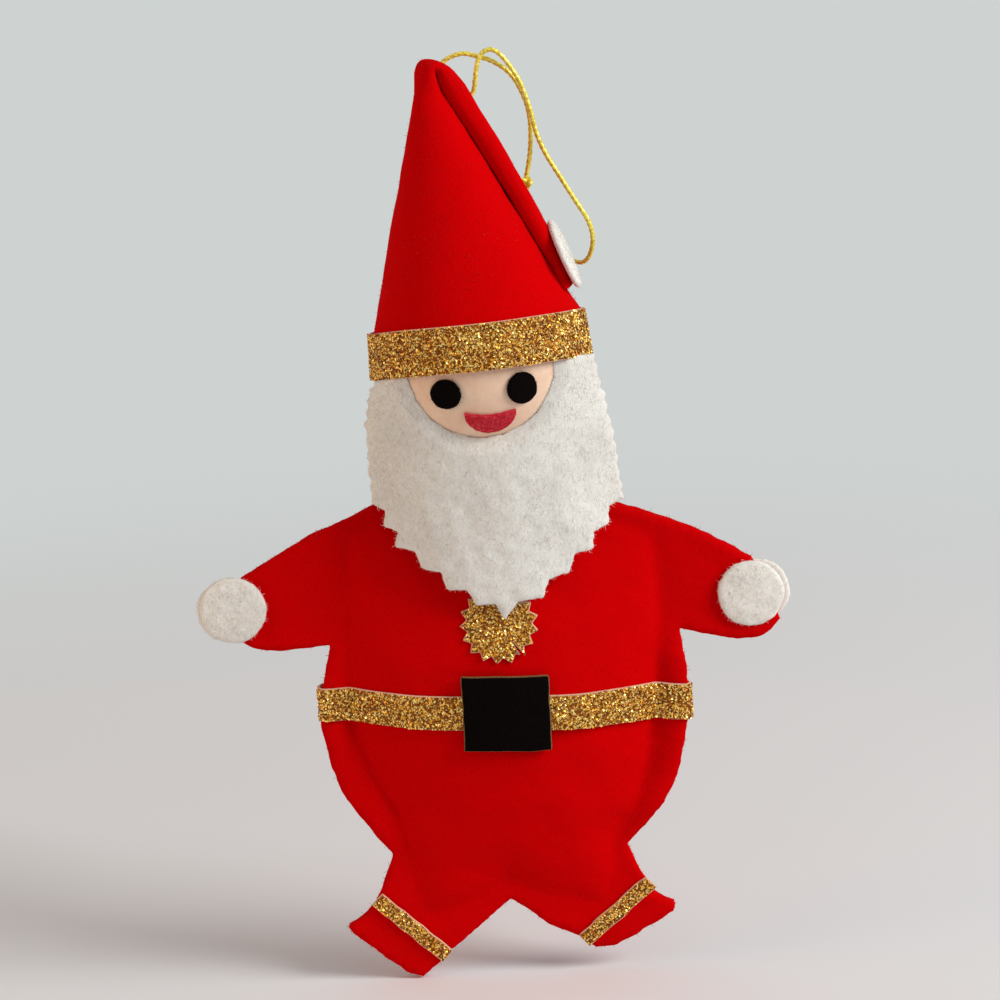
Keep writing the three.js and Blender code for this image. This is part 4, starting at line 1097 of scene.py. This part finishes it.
BELT_Z = 57.4
BELT_WIDTHS = (6.8, 7.5)
BELT_SLOPE = math.tan(math.radians(2.3))
BELT_TAB = 9
BELT_ENDS = (-37.2, 36.95)
BELT_ROUND = 0.8
TRIM_GAP = 0.15
TRIM_EDGE_LIFT = 0.35
TRIM_SPACING = 0.7
# The share of its width, from the middle, at which the belt's face ends and its cut edge starts
BELT_FACE = 0.477
BUCKLE_SIZE = (17.5, 15.7)
BUCKLE_RISE = 0.15
BUCKLE_THICK = 1.0
BUCKLE_SPACING = 0.9


def belt_line():
    """The belt's inner face from above, from the left back tab over the front to the right one."""
    left, right = BELT_ENDS
    start, end = left + BELT_ROUND, right - BELT_ROUND
    across = np.linspace(start, end, 150)
    middle_z = BELT_Z - across * BELT_SLOPE
    front_y = on_panel(TRIM_GAP)(across, middle_z, np.zeros(len(across)))[:, 1]
    turn = np.linspace(0, math.pi, 11)[1:-1]
    tab_left = belt_tab(np.linspace(left + BELT_TAB, start, 8))
    tab_right = belt_tab(np.linspace(end, right - BELT_TAB, 8))
    low = [(end + BELT_ROUND * math.sin(t), mid(front_y[-1], tab_right[0][1], t)) for t in turn]
    high = [(start - BELT_ROUND * math.sin(t), mid(front_y[0], tab_left[-1][1], t)) for t in turn[::-1]]
    return np.array([*tab_left, *high, *zip(across, front_y), *low, *tab_right])


def belt_tab(across):
    """Points of an end that is turned over onto the back panel."""
    flat = np.column_stack([across, BELT_Z - across * BELT_SLOPE])
    return [(x, BACK_OUTER_Y + FIT - curl) for x, curl in zip(across, curl_at(flat))]


def mid(front, back, turn):
    return (front + back) / 2 - (back - front) / 2 * math.cos(turn)


def make_belt():
    line = belt_line()
    tangent = np.gradient(line, axis=0)
    normal = unit(np.column_stack([tangent[:, 1], -tangent[:, 0]]))
    shares = np.concatenate([[-0.5], np.linspace(-BELT_FACE, BELT_FACE, 9), [0.5]])
    width = np.interp(line[:, 0], BELT_ENDS, BELT_WIDTHS)
    behind = np.clip((line[:, 1] - FRONT_OUTER_Y) / (BACK_OUTER_Y - FRONT_OUTER_Y), 0, 1)
    skew = np.where(line[:, 0] < 0, 0.5, -0.3) * behind
    level = BELT_Z - line[:, 0] * BELT_SLOPE + 0.22 * ripple(line[:, :1], 24, 95) + skew

    def grid(thick):
        lift = np.where(np.abs(shares) == 0.5, TRIM_EDGE_LIFT * thick, thick)
        flat = [line + normal * off for off in lift]
        rows = [np.column_stack([*f.T, level + share * width]) for f, share in zip(flat, shares)]
        return np.array(rows)

    strip, front, triangles = grid_sheet("belt_strip", grid(GLITTER), grid(0.0), GLITTER_SHEET)
    stand_for(strip, "gold_glitter", "belt")

    def outwards(places):
        return np.column_stack([places[:, 0] * 0, np.where(places[:, 1] > 0.5, 1.0, -1.0), places[:, 0] * 0])

    flakes("belt_flakes", front, triangles, outwards, 97)


def make_buckle():
    half = np.array(BUCKLE_SIZE) / 2
    corners = [(-half[0], -half[1]), (half[0], -half[1]), (half[0], half[1]), (-half[0], half[1])]
    outline = respaced(np.array(corners), 0.5, closed=True)
    outline += outward(outline) * 0.07 * ripple(outline, 5, 101)[:, None]
    level = BELT_Z + BUCKLE_RISE - outline[:, 0] * BELT_SLOPE
    outline = np.column_stack([outline[:, 0], level + outline[:, 1]])
    square, *_ = cut_sheet(
        "buckle_square", outline, BUCKLE_SPACING, on_panel(FIT + GLITTER), BUCKLE_THICK,
        [BLACK, CARD_EDGE], soft=0.7,
    )
    stand_for(square, "black_felt", "buckle")


BOOT_BAND_WIDTH = 3.3
BOOT_BANDS = (
    ("left_boot_band", (-28.3, 17.2), (-14.6, 4.3), 105),
    ("right_boot_band", (27.6, 18.0), (13.4, 6.1), 107),
)


def make_boot_bands():
    for name, start, end, seed in BOOT_BANDS:
        start, end = np.array(start), np.array(end)
        way = (end - start) / np.linalg.norm(end - start)
        across = np.array([-way[1], way[0]]) * BOOT_BAND_WIDTH / 2
        corners = np.array([start + across, end + across, end - across, start - across])
        outline = respaced(corners, 0.45, closed=True)
        outline += outward(outline) * 0.08 * ripple(outline, 4, seed)[:, None]
        strip, front, triangles, _ = cut_sheet(
            name + "_strip", outline, TRIM_SPACING, on_panel(TRIM_GAP), GLITTER, GLITTER_SHEET, soft=0.85
        )
        stand_for(strip, "gold_glitter", name)
        flakes(name + "_flakes", front, triangles, facing_front, seed + 1)


make_medallion()
make_belt()
make_buckle()
make_boot_bands()


# Hands
HAND_RADIUS = 6.65
HAND_THICK = 1.7
HAND_GAP = 0.1
DISC_HAIRS = 260
DISC_SPACING = 0.7
DISC_DOME = 0.28
FACE_HAIR_LENGTHS = (0.5, 1.5)
FACE_HAIR_RISE = (0.0, 0.35)
FACE_HAIR_CURL = 0.35
FACE_HAIR_LIE = 0.9
HANDS = (
    ("left_hand_front", (-53.7, 79.5), -1, 111),
    ("left_hand_back", (-54.4, 78.4), 1, 113),
    ("right_hand_front", (50.25, 77.5), -1, 115),
    ("right_hand_back", (51.6, 76.8), 1, 117),
)


def disc_outline(radius, seed):
    turn = np.linspace(0, 2 * math.pi, 110, endpoint=False)
    ring = np.column_stack([np.cos(turn), np.sin(turn)])
    return ring * (radius + 0.1 * ripple(ring, 0.9, seed) + 0.05 * ripple(ring, 0.25, seed + 1))[:, None]


def felt_disc(name, node, seat, radius, thick, seed):
    """A round of white felt with a domed face and hairs on its face and edge."""

    def domed(u, v, off):
        share = np.clip(np.hypot(u, v) / radius, 0, 1)
        uneven = 0.06 * ripple(np.column_stack([u, v]), 3, seed + 2)
        return seat(u, v, off * (1 - DISC_DOME * share**3) + uneven * (off > 0))

    disc, front, triangles, rim = cut_sheet(
        name, disc_outline(radius, seed), DISC_SPACING, domed, thick, [HAND_WHITE], soft=1.6
    )
    stand_for(disc, "white_felt", node)
    hairs_round(name + "_edge_fibres", rim, DISC_HAIRS, seed + 3, "white_felt", WHITE_FIBRE)
    face_fibres(name + "_face_fibres", front, triangles, rim.mean(0), DISC_HAIRS, seed + 5)


def face_fibres(name, points, triangles, away_from, count, seed, lie=(0, 0, 0)):
    """Hairs that lie along a felt face and rise a little off it."""
    rng = np.random.default_rng(seed)
    places, normal = scattered(points, triangles, count, rng)
    normal *= np.sign(np.sum(normal * (places - away_from), axis=1))[:, None]
    ways = rng.normal(size=(count, 3)) + np.array(lie)
    ways -= normal * np.sum(ways * normal, axis=1)[:, None] * FACE_HAIR_LIE
    ways = unit(ways) + normal * rng.uniform(*FACE_HAIR_RISE, size=(count, 1))
    lengths = rng.uniform(*FACE_HAIR_LENGTHS, count)
    fibres(name, places, ways, lengths, "white_felt", WHITE_FIBRE, seed + 1, FACE_HAIR_CURL)


def make_hands():
    for name, (x, z), way, seed in HANDS:
        face_y = FRONT_OUTER_Y - HAND_GAP if way < 0 else BACK_OUTER_Y + HAND_GAP

        def seat(u, v, off, x=x, z=z, way=way, face_y=face_y):
            return np.column_stack([x + u, face_y + way * off, z + v])

        felt_disc(name + "_disc", name, seat, HAND_RADIUS, HAND_THICK, seed)


make_hands()


# The beard, with its points set out from the head's middle
BEARD_THICK = 1.4
FACE_RADIUS = 14.4
BEARD_SIDES = (
    ((-20.9, -2.9), (-22.1, -4.6), (-22.6, -7.0), (-23.5, -12.0), (-23.1, -28.4)),
    ((27.1, -30.4), (25.7, -16.4), (22.4, 0.2)),
)
FACE_ARC = (math.radians(4), math.radians(-175))
BEARD_LOW = (
    (-23.1, -28.4), (-18.7, -37.0), (-8.9, -45.8), (2.2, -52.6),
    (9.9, -48.6), (20.5, -39.6), (27.1, -30.4),
)
TEETH = (6.0, 2.0)
SIDE_TEETH = (3.0, 0.45)
BEARD_SIDE_SLOPE = 0.8
BEARD_RIM_Y = HEAD[1] - math.sqrt((HEAD_RADIUS + FIT) ** 2 - FACE_RADIUS**2)
BEARD_TIP = np.array(BEARD_LOW[3])
BEARD_RIM_TUCK = 0.45
BEARD_RIM_THIN = 0.75
BEARD_RIM_WIDTH = 3
BEARD_FLAT_WIDTH = 8
BEARD_GAP = 0.4
BEARD_SPACING = 0.9
BEARD_SWELLS = ((0.3, 13, 121), (0.1, 4, 122))
BEARD_EDGE_SWELLS = ((0.1, 3, 125), (0.05, 1, 126))
BEARD_EDGE_HAIRS = 1500
BEARD_RIM_HAIRS = 900
BEARD_FACE_HAIRS = 1800


def pinked(corners, pitch, depth):
    """A zigzag along the corners, tip to notch to tip."""
    points = []
    for a, b in zip(corners, corners[1:]):
        a, b = np.array(a, float), np.array(b, float)
        way = b - a
        length = np.linalg.norm(way)
        inwards = np.array([-way[1], way[0]]) / length
        teeth = max(1, round(length / pitch))
        for k in range(teeth):
            points.append(a + way * k / teeth)
            points.append(a + way * (k + 0.5) / teeth + inwards * depth)
    return points


def beard_seat_maker():
    """Seats on a cone from the face's rim, which lies on the body where it meets it."""
    tip_z = HEAD[2] + BEARD_TIP[1]
    tip_x = HEAD[0] + BEARD_TIP[0]
    tip_y = on_panel(2 * FIT + GLITTER)(np.array([tip_x]), np.array([tip_z]), np.zeros(1))[0, 1]
    down_slope = (tip_y - BEARD_RIM_Y) / (np.linalg.norm(BEARD_TIP) - FACE_RADIUS)

    def seat(x, z, off):
        away = np.hypot(x, z)
        slope = down_slope + (BEARD_SIDE_SLOPE - down_slope) * (x / away) ** 2
        y = BEARD_RIM_Y + slope * (away - FACE_RADIUS)
        flat = np.column_stack([x, z])
        fade = np.clip((away - FACE_RADIUS) / BEARD_FLAT_WIDTH, 0, 1)
        y = y + fade * swells(flat, BEARD_SWELLS)
        below = on_panel(BEARD_GAP)(HEAD[0] + x, HEAD[2] + z, np.zeros(len(x)))[:, 1]
        body = inside(np.column_stack([HEAD[0] + x, HEAD[2] + z]), front_outline)
        y = np.where(body, np.minimum(y, below), y)
        rim = np.clip(1 - (away - FACE_RADIUS) / BEARD_RIM_WIDTH, 0, 1)
        y = y + BEARD_RIM_TUCK * rim - off * (1 - BEARD_RIM_THIN * rim)
        return np.column_stack([HEAD[0] + x, y, HEAD[2] + z])

    return seat


def make_beard():
    left, right = BEARD_SIDES
    edge = [
        *pinked(left, *SIDE_TEETH), *pinked(BEARD_LOW, *TEETH),
        *pinked(right, *SIDE_TEETH), np.array(right[-1]),
    ]
    turn = np.linspace(*FACE_ARC, 90)
    arc = np.column_stack([FACE_RADIUS * np.cos(turn), FACE_RADIUS * np.sin(turn)])
    outline = respaced(np.vstack([edge, arc]), 0.55, closed=True)
    outline += outward(outline) * swells(outline, BEARD_EDGE_SWELLS)[:, None]
    sheet, front, triangles, rim = cut_sheet(
        "beard_sheet", outline, BEARD_SPACING, beard_seat_maker(), BEARD_THICK, [WHITE], soft=1.3
    )
    stand_for(sheet, "white_felt", "beard")
    rng = np.random.default_rng(127)
    chosen = rng.integers(0, len(outline), BEARD_EDGE_HAIRS)
    normal = outward(outline)[chosen]
    ways = np.column_stack([normal[:, 0], rng.normal(scale=0.3, size=len(chosen)), normal[:, 1]])
    kind = ("white_felt", WHITE_FIBRE)
    hairs("beard_edge_fibres", rim[chosen], ways, rng, 0.45, (0.22, 0.1, 1.2), *kind, 128)
    by_face = rim[np.hypot(rim[:, 0] - HEAD[0], rim[:, 2] - HEAD[2]) < FACE_RADIUS + 0.5]
    roots = by_face[rng.integers(0, len(by_face), BEARD_RIM_HAIRS)]
    ahead, behind = HEAD + [0, -30, 0], HEAD + [0, 40, 0]
    hairs("beard_rim_fibres", roots, ahead - roots, rng, 0.5, (0.25, 0.15, 0.9), *kind, 130)
    face_fibres("beard_face_fibres", front, triangles, behind, BEARD_FACE_HAIRS, 129, lie=(0, 0, -1.2))


make_beard()


# The hat
BRIM_Z = 126.2
BRIM_FRONT_SLOPE = 0.16
BRIM_RIGHT_SLOPE = 0.07
BAND_WIDTH = 9.5
CONE_BASE_Z = BRIM_Z + BAND_WIDTH
BAND_LEAN = (0.15, -0.475)
BAND_TAPER = 0.55
BAND_GAP = 0.1
# The shares of its width between which the band's face lies, beside its cut edges
BAND_FACE = (0.018, 0.982)
BAND_WAVES = ((0.16, 0.8, 141),)
BAND_LIFTS = ((0.15, 1.1, 142),)
HAT_RADIUS = HEAD_RADIUS + FELT + 0.15
CONE_RADIUS = 20.6
CONE_X = HEAD[0] - 0.2
TIP_X = -9.6
TIP_Z = 185.4
TIP_RADIUS = 1.15
TAIL_TOP_Z = 181.5
TAIL_END_Z = 142.0
TAIL_WIDTHS = (8.0, 10.0, 8.0)
TAIL_THICK = (4.8, 2.4)
TAIL_STANDOFF = (-0.1, 0.0)
TAIL_TURN = (25.0, -6.0)
POMPOM_RISE = 5.4
POMPOM_RADIUS = 7.0
POMPOM_THICK = 1.7
BRIM_HIDE = 0.9
HAT_SIDES = 96
HAT_TURNS = np.arange(HAT_SIDES) / HAT_SIDES * 2 * math.pi
HAT_STEP = 1.2
HAT_SWELLS = ((0.15, 16, 131), (0.05, 4, 132))
HAT_HAIRS = 4500
HAT_MIDDLE = np.array([-6.0, -1.0, 150.0])
FOLD_EASING = 6
BAND_SIDES = 240
TAIL_SQUARE = 2.6


def blend(a, b, share):
    return a + (b - a) * share


def cone_at(z):
    share = (z - CONE_BASE_Z) / (TIP_Z - CONE_BASE_Z)
    return blend(CONE_X, TIP_X, share), blend(CONE_RADIUS, TIP_RADIUS, share), 1 - share


def tail_at(share):
    z = blend(TAIL_TOP_Z, TAIL_END_Z, share)
    x, radius, _ = cone_at(z)
    turn = math.radians(blend(*TAIL_TURN, share))
    thick = blend(*TAIL_THICK, share**3)
    out = radius + blend(*TAIL_STANDOFF, share) + thick / 2
    middle = np.array([x + out * math.cos(turn), HEAD[1] + out * math.sin(turn), z])
    wide = np.array([-math.sin(turn), math.cos(turn), 0])
    bulge = TAIL_WIDTHS[1] - (TAIL_WIDTHS[0] + TAIL_WIDTHS[2]) / 2
    width = blend(TAIL_WIDTHS[0], TAIL_WIDTHS[2], share) + 4 * bulge * share * (1 - share)
    return middle, wide, width, thick


def tail_frame(share):
    middle, wide, width, thick = tail_at(share)
    along = tail_at(share + 0.01)[0] - tail_at(share - 0.01)[0]
    out = np.cross(along, wide)
    return middle, wide, out / np.linalg.norm(out), width, thick


def tail_face(share):
    """The middle of the tail's outer face."""
    middle, _, out, _, thick = tail_frame(share)
    return middle + out * thick / 2


# The fold between the cone's tip and the tail: middle, half thickness and half width of its sections
FOLD_SECTIONS = [
    ((-9.2, -0.95, 183.4), 2.1, 3.0),
    ((-9.3, -0.85, 185.4), 1.6, 3.2),
    ((-8.75, -0.5, 186.75), 1.25, 3.4),
    ((-7.35, 0.2, 186.3), 1.4, 3.7),
    ((-6.0, 0.8, 184.4), 2.1, 3.9),
]


def hat_sections():
    """Middle, half thickness, half width and turn along the cone, over the fold and down the tail."""
    first = TAIL_TURN[0]
    rows = []
    for z in np.arange(CONE_BASE_Z, TAIL_TOP_Z, HAT_STEP):
        x, radius, _ = cone_at(z)
        rows.append([x, HEAD[1], z, radius, radius, first])
    cone_count = len(rows)
    fold = [[*middle, thick, width, first] for middle, thick, width in FOLD_SECTIONS]
    tail = []
    for share in np.linspace(0, 1, 40):
        middle, _, _, width, thick = tail_frame(share)
        tail.append([*middle, thick / 2, width / 2, blend(*TAIL_TURN, share)])
    bend = spline([rows[-1], *fold, tail[0]], 5)[1:-1]
    return np.array([*rows, *bend, *tail]), cone_count


def hat_rings():
    """The hat's outer rings from the band over the tip to the tail's end, and the cone's sections."""
    sections, cone_count = hat_sections()
    tangent = unit(np.gradient(sections[:, :3], axis=0))
    tangent[:cone_count] = (0, 0, 1)
    for k in range(FOLD_EASING):
        share = (k + 1) / (FOLD_EASING + 1)
        tangent[cone_count + k] = blend(np.array([0, 0, 1]), tangent[cone_count + k], share)
    rings = []
    for i, (section, way) in enumerate(zip(sections, tangent)):
        middle, (thick, width, turn) = section[:3], section[3:]
        wide = np.array([-math.sin(math.radians(turn)), math.cos(math.radians(turn)), 0])
        out = np.cross(way, wide)
        out /= np.linalg.norm(out)
        power = 2 / blend(2, TAIL_SQUARE, np.clip((i - cone_count) / 20, 0, 1))
        ring = middle + np.outer(thick * rounded(np.sin(HAT_TURNS), power), out)
        ring += np.outer(width * rounded(np.cos(HAT_TURNS), power), wide)
        if i < cone_count:
            ring = on_head(tilted(ring, middle[2]), HAT_RADIUS)
        rings.append(ring)
    return rings, sections[:cone_count]


def rounded(share, power):
    """Bends a circle's sine or cosine towards a square's."""
    return np.sign(share) * np.abs(share) ** power


def tilted(ring, z):
    """A level ring of the hat, given the brim's tilt, which fades out towards the tip."""
    share = cone_at(z)[2] if z > CONE_BASE_Z else 1.0
    middle_x = cone_at(max(z, CONE_BASE_Z))[0]
    rise = (ring[:, 0] - middle_x) * BRIM_RIGHT_SLOPE - (ring[:, 1] - HEAD[1]) * BRIM_FRONT_SLOPE
    return ring + np.column_stack([np.zeros((len(ring), 2)), share * rise])


def on_head(ring, least):
    """Points kept at least so far from the head's middle."""
    way = ring - HEAD
    away = np.linalg.norm(way, axis=1, keepdims=True)
    return HEAD + way * np.maximum(away, least) / away


def level_ring(radius, z, turns):
    """A ring round the brim, which narrows and leans to the left towards its top."""
    share = (z - BRIM_Z) / BAND_WIDTH
    radius = radius - BAND_TAPER * share
    wide_turn = math.radians(TAIL_TURN[0])
    out = np.array([-math.cos(wide_turn), -math.sin(wide_turn), 0])
    wide = np.array([-math.sin(wide_turn), math.cos(wide_turn), 0])
    middle = np.array([HEAD[0] + blend(*BAND_LEAN, share), HEAD[1], z])
    return tilted(middle + radius * (np.outer(np.sin(turns), out) + np.outer(np.cos(turns), wide)), z)


def make_hat():
    rings, cone = hat_rings()
    brim_levels = np.linspace(BRIM_Z + BRIM_HIDE, CONE_BASE_Z, 6)[:-1]
    outer = [level_ring(HAT_RADIUS, z, HAT_TURNS) for z in brim_levels] + rings
    inner = [level_ring(HAT_RADIUS - FELT, z, HAT_TURNS) for z in brim_levels]
    for ring, section in zip(rings, cone):
        middle, radius = section[:3], section[3]
        if radius - FELT < 1.0:
            break
        level = ring - middle
        away = np.linalg.norm(level[:, :2], axis=1, keepdims=True)
        level[:, :2] *= (away - FELT) / away
        inner.append(on_head(middle + level, HAT_RADIUS - FELT))
    chain = inner[::-1] + outer
    sides, caps = ring_faces(len(chain), HAT_SIDES), []
    roof = inner[-1].mean(0) + [0, 0, 0.6]
    way = chain[-1].mean(0) - chain[-2].mean(0)
    points = np.vstack([*chain, roof, chain[-1].mean(0) + way * 0.5])
    end = len(chain) * HAT_SIDES
    last = end - HAT_SIDES
    for j in range(HAT_SIDES):
        k = (j + 1) % HAT_SIDES
        caps += [(k, j, end), (last + j, last + k, end + 1)]
    hat = link_mesh("hat_felt", points, sides + caps, [RED])
    normals = np.array([v.normal for v in hat.data.vertices])
    uneven = swells(points, HAT_SWELLS)
    high = np.clip((points[:, 2] - CONE_BASE_Z) / 4, 0, 1)
    shaped = in_frame(points + normals * (uneven * high)[:, None])
    hat.data.vertices.foreach_set("co", shaped.astype(np.float32).ravel())
    hat.data.update()
    stand_for(hat, "red_felt", "hat")
    rng = np.random.default_rng(133)
    outside = halves(sides)[2 * HAT_SIDES * (len(inner) - 1):]
    places, normal = scattered(points, outside, HAT_HAIRS, rng)
    normal *= np.sign(np.sum(normal * (places - HAT_MIDDLE), axis=1))[:, None]
    hairs("hat_fibres", places, normal, rng, 0.7, (0.3, 0.15, 1.0), "red_felt", RED_FIBRE, 134)


def make_hat_band():
    turns = np.arange(BAND_SIDES) / BAND_SIDES * 2 * math.pi
    ring = np.column_stack([np.cos(turns), np.sin(turns)])
    levels = np.concatenate([[0], np.linspace(*BAND_FACE, 9), [1]])
    wave, lift = swells(ring, BAND_WAVES), swells(ring, BAND_LIFTS)

    def grid(thick):
        rows = []
        for share in levels:
            off = TRIM_EDGE_LIFT * thick if share in (0, 1) else thick
            level = level_ring(HAT_RADIUS + BAND_GAP + off, BRIM_Z + share * BAND_WIDTH, turns)
            way = unit(np.column_stack([level[:, :2] - HEAD[:2], np.zeros(BAND_SIDES)]))
            rows.append(level + way * wave[:, None] + np.outer(lift, [0, 0, 1]))
        return np.array(rows)

    band, front, triangles = grid_sheet(
        "hat_band_strip", grid(GLITTER), grid(0.0), GLITTER_SHEET, ring=True
    )
    stand_for(band, "gold_glitter", "hat_band")
    flakes("hat_band_flakes", front, triangles, lambda places: places - HEAD, 143)


def make_pompom():
    length = TAIL_TOP_Z - TAIL_END_Z
    share = 1 - POMPOM_RISE / length
    reach = POMPOM_RISE / (2 * length)
    along = tail_face(share + reach) - tail_face(share - reach)
    along /= np.linalg.norm(along)
    wide = tail_at(share)[1]
    out = np.cross(along, wide)
    centre = tail_face(share) + 0.05 * out

    def seat(u, v, off):
        return centre + np.outer(u, wide) + np.outer(v, along) + np.outer(off, out)

    felt_disc("pompom_disc", "hat_pompom", seat, POMPOM_RADIUS, POMPOM_THICK, 151)


make_hat()
make_hat_band()
make_pompom()


# Floor and light
FLOOR_Z = 0.0
FLOOR_RADIUS = 2.0
FLOOR_DROP = 0.0004
FLOOR_COLOUR = srgb(229, 229, 231)
FLOOR_FADE = (0.16, 0.55)
BACKDROP_COLOUR = srgb(206, 211, 210)
AMBIENT = 0.38
LIGHT_AIM_Z = 95
# The lamps' ways from the aim, sizes, powers and colours
LAMPS = (
    ("key", (1.092, -0.523, 0.733), 0.75, 16.4, (1.0, 0.99, 0.97)),
    ("fill", (-0.955, -0.242, 0.207), 0.6, 2.8, (1.0, 0.54, 0.2)),
)


def make_stage():
    mesh = bpy.data.meshes.new("floor")
    shape = bmesh.new()
    bmesh.ops.create_circle(shape, cap_ends=True, segments=96, radius=FLOOR_RADIUS)
    shape.to_mesh(mesh)
    shape.free()
    floor = linked("floor", mesh)
    floor.location = Vector(in_frame([0, 0, FLOOR_Z])) - Vector((0, 0, FLOOR_DROP))
    paper = Look("floor_paper", FLOOR_COLOUR, 0.9)
    paper.fade(*FLOOR_FADE)
    mesh.materials.append(paper.material)


def make_lamp(name, place, aim, size, power, colour):
    data = bpy.data.lights.new(name, "AREA")
    data.shape = "DISK"
    data.size = size
    data.energy = power
    data.color = colour
    lamp = linked(name, data)
    lamp.location = place
    lamp.rotation_mode = "QUATERNION"
    lamp.rotation_quaternion = (Vector(aim) - Vector(place)).to_track_quat("-Z", "Y")


def make_light():
    aim = in_frame([0, 0, LIGHT_AIM_Z])
    for name, way, size, power, colour in LAMPS:
        make_lamp(name, aim + way, aim, size, power, colour)
    world = bpy.data.worlds.new("studio")
    world.use_nodes = True
    nodes, links = world.node_tree.nodes, world.node_tree.links
    ambient = nodes["Background"]
    ambient.inputs["Color"].default_value = (1, 1, 1, 1)
    ambient.inputs["Strength"].default_value = AMBIENT
    backdrop = nodes.new("ShaderNodeBackground")
    backdrop.inputs["Color"].default_value = BACKDROP_COLOUR
    path = nodes.new("ShaderNodeLightPath")
    mix = nodes.new("ShaderNodeMixShader")
    shown = path.outputs["Is Camera Ray"]
    for ray in ("Is Glossy Ray", "Is Transmission Ray"):
        either = nodes.new("ShaderNodeMath")
        either.operation = "MAXIMUM"
        links.new(shown, either.inputs[0])
        links.new(path.outputs[ray], either.inputs[1])
        shown = either.outputs["Value"]
    links.new(shown, mix.inputs["Fac"])
    links.new(ambient.outputs["Background"], mix.inputs[1])
    links.new(backdrop.outputs["Background"], mix.inputs[2])
    links.new(mix.outputs["Shader"], nodes["World Output"].inputs["Surface"])
    bpy.context.scene.world = world


make_stage()
make_light()
